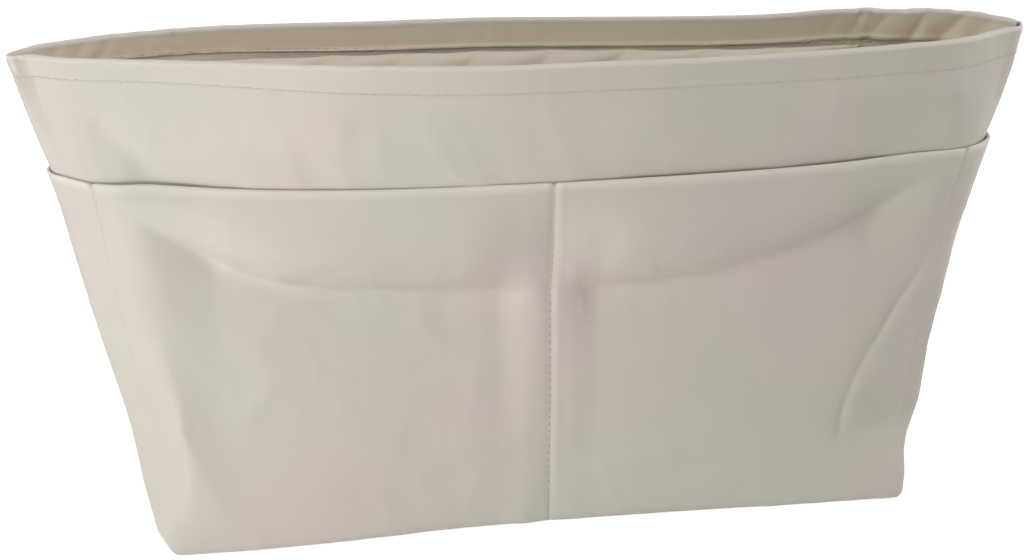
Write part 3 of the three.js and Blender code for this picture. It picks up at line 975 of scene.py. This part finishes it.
class InnerPocket:
    """Measures of the wide pocket sewn on the lining of one half."""

    def __init__(self, wall, shape, half):
        self.wall, self.shape, self.half = wall, shape, half
        mouth, foot = shape.inner_mouth + INNER_MOUTH_RISE, shape.inner_foot
        rows_up = np.linspace(mouth - INNER_FACING, mouth - 2 * MM, 6)
        gathered = np.linspace(mouth - 1.6 * MM, mouth - 20 * MM, 20)
        rows_down = np.concatenate((gathered, np.linspace(mouth - 22 * MM, foot, 30)))
        self.path = folded_path(rows_up, mouth, INNER_FOLD_RADIUS, 0.0, rows_down, 8)
        self.edge = INNER_POCKET_HALF / float(wall.girth(mouth))

    def inset(self, along, z, depth):
        """Inset of the pocket's cloth, where depth runs from 0 on its wall side to the whole fold."""
        to_edge = (self.edge - np.abs(along)) * self.wall.girth(z)
        mouth, foot = self.shape.inner_mouth, self.shape.inner_foot
        rise = np.clip((z - foot) / (mouth - foot), 0.0, 1.0)
        slack = smooth(to_edge, 0.0, 30 * MM) * smooth(rise, 0.0, 0.3)
        x = along * self.wall.girth(z)
        below = np.maximum(mouth + INNER_MOUTH_RISE - z, 0.0)
        puff = INNER_PUFF * (1.0 - np.exp(-below / INNER_PUFF_REACH)) * rise
        turns = (x + 1.1 * z) / INNER_PLEAT_PITCH + 0.9 * scattered(x, z, 30 * MM, 41)
        gather = np.abs(np.sin(math.pi * turns)) + 0.3 * scattered(x + 0.9 * z, 0.25 * z, 7 * MM, 42)
        gather = INNER_GATHER * gather * smooth(below, -2 * MM, 1.5 * MM) * rise**2
        stand = slack * (0.5 * MM * softness(x, z) + puff + gather)
        start = INNER_INSET + 0.2 * MM
        return start + depth * (0.15 + 0.85 * rise) + stand

    def part(self, name, low, high):
        """A part of the pocket between two shares of the half girth."""
        wall, path = self.wall, self.path

        def lay(across, row):
            z, depth = path.z[row], path.inset[row]
            along = low + (high - low) * across
            points = wall.place(along, z, self.inset(along, z, depth), self.half)
            girth = wall.girth(z)
            cloth = np.stack((along * girth, path.along[row]), axis=1)
            to_edge = (self.edge - np.abs(along)) * girth
            to_foot = np.where(path.facing[row] < 0, z - self.shape.inner_foot, 1.0)
            # Painted shade along the sewn edges, kept as the seam attribute
            shade = bump(np.minimum(to_edge, to_foot), INNER_MARGIN, GROOVE_SPREAD)
            return points, cloth, shade, np.full_like(z, 0.5)

        return cut_sheet(name, INNER_COLUMNS, path.count, lay, LINING)


def base_slab(name, wall, inset, low, high, rounding):
    """A flat piece of the base, between two heights, on the wall's plan curve."""

    def lay(across, row):
        along = 2.0 * across - 1.0
        level, deep = np.full_like(along, low), np.full_like(along, inset)
        on_front = wall.place(along, level, deep, FRONT)
        on_back = wall.place(-along, level, deep, BACK)
        share = (row / BASE_ROWS)[:, None]
        points = on_front * (1.0 - share) + on_back * share
        points[:, 2] = high
        return points, points[:, :2].copy(), np.zeros_like(along), np.full_like(along, 0.5)

    piece = cut_sheet(name, BASE_COLUMNS, BASE_ROWS, lay, high - low)
    apply_modifier(
        piece, "BEVEL", width=rounding, segments=2, limit_method="ANGLE", angle_limit=SLAB_CORNER
    )
    smooth_shading(piece)
    return piece


def one_stitch(length, radius):
    """Vertices and faces of one stitch along X, from a sphere drawn out."""
    deselect()
    bpy.ops.mesh.primitive_uv_sphere_add(
        segments=6, ring_count=5, radius=1.0, location=(0.0, 0.0, 0.0), rotation=(0.0, math.pi / 2, 0.0)
    )
    ball = bpy.context.object
    bpy.ops.object.transform_apply(location=False, rotation=True, scale=False)
    points = np.array([vertex.co for vertex in ball.data.vertices])
    faces = [tuple(face.vertices) for face in ball.data.polygons]
    bpy.data.objects.remove(ball)
    points[:, 0] *= length / 2
    points[:, 1:] *= radius
    return points, faces


def stitch_row(name, points, outward, pitch, radius=THREAD_RADIUS):
    """A row of stitches along a path on the cloth, with the way out at each point."""
    along = lengths_along(points)
    count = stitch_count(along[-1], pitch)
    middles = (np.arange(count) + 0.5) * along[-1] / count
    reach = STITCH_SHARE * pitch
    shape, faces = one_stitch(2 * reach, radius)

    def at(distance, values):
        return np.stack([np.interp(distance, along, values[:, axis]) for axis in range(3)], axis=1)

    centre = at(middles, points)
    ahead = at(middles + reach, points) - at(middles - reach, points)
    ahead /= np.linalg.norm(ahead, axis=1)[:, None]
    up = at(middles, outward)
    up -= ahead * np.sum(up * ahead, axis=1)[:, None]
    up /= np.linalg.norm(up, axis=1)[:, None]
    side = np.cross(up, ahead)
    ahead, side = ahead + STITCH_SLANT * side, side - STITCH_SLANT * ahead
    body = (
        centre[:, None, :]
        + shape[None, :, 0:1] * ahead[:, None, :]
        + shape[None, :, 1:2] * side[:, None, :]
        + shape[None, :, 2:3] * up[:, None, :]
    )
    mesh = bpy.data.meshes.new(name)
    size = len(shape)
    copies = [tuple(corner + stitch * size for corner in face) for stitch in range(count) for face in faces]
    mesh.from_pydata(body.reshape(-1, 3).tolist(), [], copies)
    piece = bpy.data.objects.new(name, mesh)
    bpy.context.scene.collection.objects.link(piece)
    smooth_shading(piece)
    return piece


class Value:
    """A shader socket in a Python expression: arithmetic on it adds Math nodes."""

    def __init__(self, tree, socket):
        self.tree = tree
        self.socket = socket

    def node(self, kind, settings=None, sockets=None, output=0):
        """Adds a node of a kind, with its settings set first, then its sockets' values or links."""
        node = self.tree.nodes.new(kind)
        for name, setting in (settings or {}).items():
            setattr(node, name, setting)
        for name, value in (sockets or {}).items():
            if isinstance(value, Value):
                self.tree.links.new(value.socket, node.inputs[name])
            else:
                node.inputs[name].default_value = value
        return Value(self.tree, node.outputs[output])

    def maths(self, operation, *others):
        """A Math node on this value and the others."""
        return self.node("ShaderNodeMath", {"operation": operation}, dict(enumerate((self, *others))))

    def __add__(self, other):
        return self.maths("ADD", other)

    __radd__ = __add__

    def __sub__(self, other):
        return self.maths("SUBTRACT", other)

    def __mul__(self, other):
        return self.maths("MULTIPLY", other)

    def ramp(self, start, slope):
        """This value's rise above a start, kept between 0 and 1."""
        clamped = {"operation": "MULTIPLY", "use_clamp": True}
        return self.node("ShaderNodeMath", clamped, {0: self - start, 1: slope})

    def noise(self, scale, detail):
        """A noise texture with this value as its place."""
        return self.node("ShaderNodeTexNoise", sockets={"Vector": self, "Scale": scale, "Detail": detail})

    def relief(self, strength, distance):
        """A normal bumped by this value as the height."""
        sockets = {"Strength": strength, "Distance": distance, "Height": self}
        return self.node("ShaderNodeBump", sockets=sockets)

    def mixed(self, low, high):
        """A colour between low and high, by this value as the factor."""
        return self.node("ShaderNodeMix", {"data_type": "RGBA"}, {0: self, 6: low, 7: high}, output=2)


def rgba(shade, brightness=1.0):
    """A colour for a shader socket, made lighter or darker."""
    return tuple(min(1.0, channel * brightness) for channel in shade[:3]) + (1.0,)


def new_finish(name, **constants):
    """A material, its Principled shader and an empty expression to start from."""
    finish = bpy.data.materials.new(name)
    finish.use_nodes = True
    tree = finish.node_tree
    shader = tree.nodes["Principled BSDF"]
    for socket, value in constants.items():
        shader.inputs[socket.replace("_", " ")].default_value = value
    return finish, shader, Value(tree, None)


def feed(start, shader, **links):
    """Links expressions to a shader's sockets."""
    for socket, value in links.items():
        start.tree.links.new(value.socket, shader.inputs[socket.replace("_", " ")])


def nylon_finish(name, shade, pitch, strength):
    """Satin nylon: a fine plain weave, slubs along both threads, painted shade at needle holes, seams and
    pocket gaps, painted highlights on folded edges and painted light on the inside facing.
    """
    finish, shader, start = new_finish(
        name, Sheen_Weight=0.08, Sheen_Roughness=0.45, Specular_IOR_Level=0.32
    )
    cloth = start.node("ShaderNodeUVMap", {"uv_map": "cloth"})
    across, along = (
        start.node("ShaderNodeSeparateXYZ", sockets={0: cloth}, output=axis) for axis in (0, 1)
    )
    turns = 2 * math.pi / pitch
    weave = (across * turns).maths("SINE") * (along * turns).maths("SINE")
    streaks = []
    for scale in SLUB_SCALES:
        run = start.node("ShaderNodeVectorMath", {"operation": "MULTIPLY"}, {0: cloth, 1: scale})
        streaks.append(run.noise(1.0, 2.0))
    slub = streaks[0] * 0.5 + streaks[1] * 0.5
    place = start.node("ShaderNodeTexCoord", output=3)
    cloud = place.noise(26.0, 3.0)
    patch = place.noise(17.0, 1.0).ramp(0.35, 3.3)
    tone = patch.mixed(*(rgba(np.multiply(shade, tint)) for tint in PATCH_TINTS))
    mottle = (slub * 0.5 + cloud * 0.5).mixed(*MOTTLE_TONES)
    multiply = {"data_type": "RGBA", "blend_type": "MULTIPLY"}
    tone = start.node("ShaderNodeMix", multiply, {0: 1.0, 6: tone, 7: mottle}, output=2)
    # Painted shade where the seam attribute is positive, painted highlight where it is negative
    seam = start.node("ShaderNodeAttribute", {"attribute_name": "seam"}, output=2)
    phase = start.node("ShaderNodeAttribute", {"attribute_name": "stitch"}, output=2)
    painted_hole_shade = (phase.maths("FRACT") - 0.5).maths("ABSOLUTE").ramp(0.38, 10.0)
    tone = (seam * (0.22 + painted_hole_shade * 0.68)).mixed(tone, rgba(shade, PAINTED_SHADE_TONE))
    tone = (seam * -1.0).mixed(tone, rgba(shade, PAINTED_HIGHLIGHT_TONE))
    # Painted light: the inside facing is made lighter and warmer than the outside
    tone = along.ramp(FACING_START, 500.0).mixed(tone, rgba(np.multiply(shade, FACING_PAINTED_LIGHT)))
    rough = 0.50 + cloud * 0.10 + slub * 0.08
    normal = (weave * 0.35 + slub * 1.3).relief(strength, 0.04 * MM)
    feed(start, shader, Base_Color=tone, Roughness=rough, Normal=normal)
    return finish


def fibre_finish(name, shade, grain, tones, rough, **constants):
    """A matt finish mottled by a fine cloud of fibres, with that cloud and the shader to add to."""
    finish, shader, start = new_finish(name, **constants)
    fibre = start.node("ShaderNodeTexCoord", output=3).noise(*grain)
    tone = fibre.mixed(*(rgba(shade, brightness) for brightness in tones))
    feed(start, shader, Base_Color=tone, Roughness=rough[0] + fibre * rough[1])
    return finish, shader, fibre


def felt_finish(name, shade):
    """Pressed felt: a matt cloud of fibres."""
    finish, shader, fibre = fibre_finish(
        name, shade, (900.0, 4.0), (0.9, 1.05), (0.85, 0.1), Sheen_Weight=0.3, Specular_IOR_Level=0.1
    )
    feed(fibre, shader, Normal=fibre.relief(0.5, 0.1 * MM))
    return finish


def board_finish(name, shade):
    """Grey fibre board with a faint grain."""
    finish, shader, grain = fibre_finish(
        name, shade, (420.0, 5.0), (0.85, 1.1), (0.7, 0.15), Specular_IOR_Level=0.25
    )
    feed(grain, shader, Normal=grain.relief(0.3, 0.05 * MM))
    return finish


def thread_finish(name, shade):
    """Twisted thread: fine dark turns on a satin strand."""
    finish, _, _ = fibre_finish(
        name, shade, (2600.0, 2.0), (0.85, 1.1), (0.5, 0.2), Sheen_Weight=0.2, Specular_IOR_Level=0.3
    )
    return finish


def finish_named(name, make, *values):
    """A material made once and shared by its pieces."""
    return bpy.data.materials.get(name) or make(name, *values)


def dress(piece, finish):
    """Gives a piece its material."""
    piece.data.materials.clear()
    piece.data.materials.append(finish)
    return piece


def outer_nylon(look):
    """The cloth of the panels and the outer pockets."""
    return finish_named("woven_nylon", nylon_finish, look.nylon, look.weave, OUTER_RELIEF)


def lining_nylon(look):
    """The cloth of the lining and the inner pockets."""
    return finish_named("woven_lining", nylon_finish, look.lining, look.weave, LINING_RELIEF)


def sewing_thread(look):
    """The thread of every row of stitches."""
    return finish_named("sewing_thread", thread_finish, look.thread)


def declare_sheet(widths, lengths):
    """Adds up the area that a sheet's widths along its length give; the area is not kept."""
    widths, lengths = np.asarray(widths), np.asarray(lengths)
    area = float(np.sum((widths[1:] + widths[:-1]) / 2 * np.diff(lengths)))


def hang_part(piece, node, widths, path):
    """Bakes a pocket part's placement into its mesh and hides the part of model.glb that it replaces."""
    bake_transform(piece)
    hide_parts(node)
    declare_sheet(widths, path.along)


def measures(context):
    """The settings of shape and finish, and the wall that they give."""
    shape = context.scene.bag_shape
    return shape, context.scene.bag_finish, BagWall(shape)


def hand_name(side, half):
    """The hand that a side of a half is on, seen from the front."""
    return "left" if (side < 0) == (half == FRONT) else "right"


class BAG_OT_outer_panels(bpy.types.Operator):
    """Sews the front and back panels with their hem"""

    bl_idname = "toiletry_bag.outer_panels"
    bl_label = "Outer Panels"

    def execute(self, context):
        shape, look, wall = measures(context)
        path = panel_path(shape)
        for half in HALVES:
            panel = dress(sewn_panel(wall, shape, half), outer_nylon(look))
            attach(panel, "bag")
            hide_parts(f"{half}_panel")
            declare_sheet(2 * wall.girth(path.z), path.along)
        return {"FINISHED"}


class BAG_OT_inner_layers(bpy.types.Operator):
    """Lays the felt and the lining inside the panels"""

    bl_idname = "toiletry_bag.inner_layers"
    bl_label = "Felt and Lining"

    def execute(self, context):
        _, look, wall = measures(context)
        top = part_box("front_lining")[1].z
        felt = finish_named("pressed_felt", felt_finish, look.felt)
        layers = (
            ("interlining", FELT_INSET, FELT, WALL_FOOT, felt, "interlining_felt"),
            ("lining", LINING_INSET, LINING, LINING_FOOT, lining_nylon(look), "lining_nylon"),
        )
        for half in HALVES:
            for layer, inset, thickness, foot, finish, slot in layers:
                heights = np.linspace(foot, top, LAYER_ROWS)
                sheet = plain_wall_sheet(wall, f"{half}_{layer}_sheet", half, heights, inset, thickness)
                dress(sheet, finish)
                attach(sheet, "bag")
                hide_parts(f"{half}_{layer}")
                declare_sheet(2 * wall.girth(heights), heights)
        return {"FINISHED"}


class BAG_OT_base(bpy.types.Operator):
    """Lays the base cloth, the board and the base lining"""

    bl_idname = "toiletry_bag.base"
    bl_label = "Base"

    def execute(self, context):
        _, look, wall = measures(context)
        board = finish_named("fibre_board", board_finish, look.board)
        pieces = (
            ("base_panel", 0.0, outer_nylon(look), "outer_nylon", 0.2 * MM),
            ("base_board", LINING_INSET, board, "base_board", 0.5 * MM),
            ("base_lining", INNER_INSET, lining_nylon(look), "lining_nylon", 0.15 * MM),
        )
        for name, inset, finish, slot, rounding in pieces:
            low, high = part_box(name)
            slab = dress(base_slab(f"{name}_piece", wall, inset, low.z, high.z, rounding), finish)
            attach(slab, "bag")
            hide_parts(name)
            name != "base_board"
        return {"FINISHED"}


class BAG_OT_outer_pockets(bpy.types.Operator):
    """Sews the four front and back pockets, each in two parts that meet at its middle"""

    bl_idname = "toiletry_bag.outer_pockets"
    bl_label = "Outer Pockets"

    def execute(self, context):
        shape, look, wall = measures(context)
        for half in HALVES:
            pocket = OuterPocket(wall, shape, half)
            for side in SIDES:
                self.sew(look, pocket, f"{half}_{hand_name(side, half)}_pocket", side)
        return {"FINISHED"}

    def sew(self, look, pocket, node, side):
        """Both parts of one pocket, on the side of its half that is asked for."""
        wall, path = pocket.wall, pocket.path
        parts = {
            "centre": (np.zeros_like, pocket.split),
            "corner": (pocket.split, pocket.corner),
        }
        for part, (inner, outer) in parts.items():
            sewn_line, free_line = (inner, outer) if part == "centre" else (outer, inner)
            strength = np.ones_like if part == "centre" else faint_row
            sewn, free = mirrored(sewn_line, side), mirrored(free_line, side)
            piece = pocket.part(f"{node}_{part}", sewn, free, POCKET_COLUMNS, strength)
            dress(piece, outer_nylon(look))
            mouth, way = self.inward(pocket, sewn, to_right=("right" in node) == (part == "centre"))
            start = mouth + way * MM
            end = start + way * BLEND_REACH
            widths = (outer(path.z) - inner(path.z)) * wall.girth(path.z)
            hang_part(piece, node, widths, path)

    def inward(self, pocket, sewn, to_right):
        """The mouth's end on a sewn line, and the way from that line into the pocket."""
        heights = np.array([0.0, pocket.shape.pocket_mouth])
        foot, mouth = pocket.wall.place(sewn(heights), heights, np.zeros(2), pocket.half)
        way = Vector((mouth[2] - foot[2], 0.0, foot[0] - mouth[0])).normalized()
        return Vector(mouth), way if to_right else -way


class BAG_OT_end_pockets(bpy.types.Operator):
    """Sews the pockets round the two ends, each in two parts that meet at the side seam"""

    bl_idname = "toiletry_bag.end_pockets"
    bl_label = "End Pockets"

    def execute(self, context):
        shape, look, wall = measures(context)
        for half in HALVES:
            pocket = OuterPocket(wall, shape, half)
            path = pocket.path
            for side in SIDES:
                node = f"{hand_name(side, half)}_end_pocket"
                sewn_line, seam_line = mirrored(pocket.corner, side), mirrored(np.ones_like, side)
                piece = pocket.part(f"{node}_{half}", sewn_line, seam_line, END_COLUMNS, faint_row)
                dress(piece, outer_nylon(look))
                mouth = np.full(2, shape.pocket_mouth)
                ends = np.array([side * float(pocket.corner(mouth)[0]), side])
                sewn, seam = wall.place(ends, mouth, np.zeros(2), half)
                widths = (1.0 - pocket.corner(path.z)) * wall.girth(path.z)
                hang_part(piece, node, widths, path)
        return {"FINISHED"}


class BAG_OT_inner_pockets(bpy.types.Operator):
    """Sews the wide pockets on the lining, each in two parts that meet at the middle"""

    bl_idname = "toiletry_bag.inner_pockets"
    bl_label = "Inner Pockets"

    def execute(self, context):
        shape, look, wall = measures(context)
        for half in HALVES:
            pocket = InnerPocket(wall, shape, half)
            path = pocket.path
            node = f"inner_{half}_pocket"
            for side in SIDES:
                hand = hand_name(side, half)
                low, high = (-pocket.edge, 0.0) if side < 0 else (0.0, pocket.edge)
                piece = dress(pocket.part(f"{node}_{hand}", low, high), lining_nylon(look))
                outer = 1.0 if hand == "right" else -1.0
                start = Vector((outer * (INNER_POCKET_HALF - INNER_BLEND_START), 0.0, shape.inner_mouth))
                end = start - Vector((outer * BLEND_REACH, 0.0, 0.0))
                widths = pocket.edge * wall.girth(path.z)
                hang_part(piece, node, widths, path)
        return {"FINISHED"}


class BAG_OT_stitching(bpy.types.Operator):
    """Sews the rows of thread on the hem, the pockets and the lining"""

    bl_idname = "toiletry_bag.stitching"
    bl_label = "Stitching"

    def execute(self, context):
        shape, look, wall = measures(context)
        rows = []
        for half in HALVES:
            rows += self.hem_rows(wall, shape, half)
            rows += self.outer_rows(wall, shape, half)
            rows += self.inner_rows(wall, shape, half)
        for row in rows:
            row.data.materials.append(sewing_thread(look))
            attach(row, "bag")
        return {"FINISHED"}

    def hem_rows(self, wall, shape, half):
        """The hem's stitching, outside and inside."""
        sunk = 0.4 * HEM_GROOVE
        _, outside, way_out = hem_track(wall, shape, half, sunk)
        _, inside, way = hem_track(wall, shape, half, HEM_INSET - sunk + 0.2 * MM)
        return [
            stitch_row(f"{half}_hem_stitching", outside, way_out, shape.hem_stitch),
            stitch_row(f"{half}_hem_stitching_inside", inside, -way, shape.hem_stitch),
        ]

    def outer_rows(self, wall, shape, half):
        """The centre row and the two corner rows that hold the outer pockets."""
        pocket = OuterPocket(wall, shape, half)
        lines = {
            "centre": np.zeros_like,
            "left_corner": mirrored(pocket.corner, -1.0),
            "right_corner": mirrored(pocket.corner, 1.0),
        }
        rows = []
        for name, line in lines.items():
            radius = THREAD_RADIUS if name == "centre" else FINE_THREAD_RADIUS
            _, points, way = pocket.sewn_track(line, THREAD_STANDS * radius)
            rows.append(stitch_row(f"{half}_{name}_stitching", points, way, shape.pocket_stitch, radius))
        return rows

    def inner_rows(self, wall, shape, half):
        """The rows down both sides and along the foot of the inner pocket."""
        pocket = InnerPocket(wall, shape, half)
        foot = shape.inner_foot + INNER_MARGIN
        z = np.linspace(foot, shape.inner_mouth - 1 * MM, 200)
        edge = pocket.edge - INNER_MARGIN / wall.girth(z)
        across = np.linspace(-edge[0], edge[0], 400)
        lines = {"left": (-edge, z), "right": (edge, z), "foot": (across, np.full_like(across, foot))}
        rows = []
        for name, (along, heights) in lines.items():
            inset = pocket.inset(along, heights, 2 * INNER_FOLD_RADIUS) + 0.5 * THREAD_RADIUS
            points, way = on_wall(wall, along, heights, inset, half)
            rows.append(stitch_row(f"inner_{half}_{name}_stitching", points, -way, shape.pocket_stitch))
        return rows


def seen_directly(start):
    """1 for the rays that show a surface to the viewer, 0 for those that only light others."""
    camera, glossy, through = (
        start.node("ShaderNodeLightPath", output=f"Is {kind} Ray")
        for kind in ("Camera", "Glossy", "Transmission")
    )
    return camera.maths("MAXIMUM", glossy).maths("MAXIMUM", through)


def look_along(thing, way):
    """Turns a camera or a lamp to look along a direction."""
    thing.rotation_euler = way.to_track_quat("-Z", "Y").to_euler()


class BAG_OT_stage(bpy.types.Operator):
    """Sets the floor, the studio light and the camera"""

    bl_idname = "toiletry_bag.stage"
    bl_label = "Stage"

    def execute(self, context):
        stage = context.scene.bag_stage
        self.camera(context, stage)
        self.floor()
        self.lamps(stage)
        self.room(context, stage)
        context.scene.view_settings.view_transform = "Standard"
        return {"FINISHED"}

    def camera(self, context, stage):
        """The camera that was fitted to the photo."""
        data = bpy.data.cameras.new("photo_camera")
        data.lens = stage.lens
        data.sensor_width = SENSOR_WIDTH
        data.sensor_fit = "HORIZONTAL"
        data.clip_start = 0.01
        camera = bpy.data.objects.new("photo_camera", data)
        context.scene.collection.objects.link(camera)
        turn, dip = stage.camera_turn, stage.camera_dip
        camera.location = (
            -stage.camera_distance * math.sin(turn),
            -stage.camera_distance * math.cos(turn),
            stage.camera_height,
        )
        heading = turn - stage.camera_swing
        level = math.cos(dip)
        ahead = Vector((math.sin(heading) * level, math.cos(heading) * level, -math.sin(dip)))
        look_along(camera, ahead)
        context.scene.camera = camera

    def floor(self):
        """A white floor that takes the bag's shadow and glows to the viewer."""
        deselect()
        bpy.ops.mesh.primitive_plane_add(size=FLOOR_SIZE, location=(0.0, 0.0, -FLOOR_DROP))
        floor = bpy.context.object
        floor.name = "studio_floor"
        finish, shader, start = new_finish("studio_white", Roughness=0.9, Specular_IOR_Level=0.1)
        shader.inputs["Base Color"].default_value = FLOOR_GREY
        glow = start.node(
            "ShaderNodeEmission", sockets={"Color": WHITE, "Strength": seen_directly(start) * FLOOR_GLOW}
        )
        both = start.node("ShaderNodeAddShader", sockets={0: Value(start.tree, shader.outputs[0]), 1: glow})
        output = start.tree.nodes["Material Output"]
        start.tree.links.new(both.socket, output.inputs["Surface"])
        floor.data.materials.append(finish)

    def lamps(self, stage):
        """The round lamps: name, place, size and power."""
        lamps = (
            ("key_lamp", (-0.72, -0.60, 0.60), 0.5, stage.key_power),
            ("bounce_card", (-0.35, -0.42, 0.03), 0.3, stage.bounce_power),
            ("top_lamp", (0.0, 0.05, 1.10), 0.8, stage.top_power),
            ("side_lamp", (1.0, 0.0, 0.5), 0.5, stage.side_power),
            ("back_lamp", (-0.3, 0.9, 0.7), 0.6, stage.back_power),
        )
        for name, place, size, power in lamps:
            data = bpy.data.lights.new(name, "AREA")
            data.shape = "DISK"
            data.size = size
            data.energy = power
            lamp = bpy.data.objects.new(name, data)
            lamp.location = place
            look_along(lamp, Vector(LAMP_AIM) - Vector(place))
            bpy.context.scene.collection.objects.link(lamp)

    def room(self, context, stage):
        """An even white room."""
        world = bpy.data.worlds.new("studio_room")
        world.use_nodes = True
        start = Value(world.node_tree, None)
        backdrop = world.node_tree.nodes["Background"]
        backdrop.inputs["Color"].default_value = WHITE
        strength = seen_directly(start) * (1.0 - stage.room_light) + stage.room_light
        world.node_tree.links.new(strength.socket, backdrop.inputs["Strength"])
        context.scene.world = world


class BAG_PT_toiletry_bag(bpy.types.Panel):
    """Lists the bag's pieces in the order they are sewn"""

    bl_idname = "BAG_PT_toiletry_bag"
    bl_label = "Toiletry Bag"
    bl_space_type = "VIEW_3D"
    bl_region_type = "UI"
    bl_category = "Toiletry Bag"

    def draw(self, context):
        """Lists the operators, then the settings."""
        for operator in OPERATORS:
            self.layout.operator(operator.bl_idname)
        for group in SETTINGS:
            settings = getattr(context.scene, group)
            box = self.layout.box()
            for name in settings.__annotations__:
                box.prop(settings, name)


SETTINGS = {
    "bag_shape": BagShapeSettings,
    "bag_finish": BagFinishSettings,
    "bag_stage": BagStageSettings,
}
OPERATORS = (
    BAG_OT_stage,
    BAG_OT_outer_panels,
    BAG_OT_inner_layers,
    BAG_OT_base,
    BAG_OT_outer_pockets,
    BAG_OT_end_pockets,
    BAG_OT_inner_pockets,
    BAG_OT_stitching,
)
CLASSES = (*SETTINGS.values(), *OPERATORS, BAG_PT_toiletry_bag)


def register():
    """Registers the classes and puts the settings on the scene."""
    for cls in CLASSES:
        bpy.utils.register_class(cls)
    for name, group in SETTINGS.items():
        setattr(bpy.types.Scene, name, bpy.props.PointerProperty(type=group))


def unregister():
    """Takes the settings off the scene and the classes out again."""
    for name in SETTINGS:
        delattr(bpy.types.Scene, name)
    for cls in reversed(CLASSES):
        bpy.utils.unregister_class(cls)


def main():
    """Builds the bag piece by piece."""
    register()
    bpy.ops.toiletry_bag.stage()
    bpy.ops.toiletry_bag.outer_panels()
    bpy.ops.toiletry_bag.inner_layers()
    bpy.ops.toiletry_bag.base()
    bpy.ops.toiletry_bag.outer_pockets()
    bpy.ops.toiletry_bag.end_pockets()
    bpy.ops.toiletry_bag.inner_pockets()
    bpy.ops.toiletry_bag.stitching()


if __name__ == "__main__":
    main()
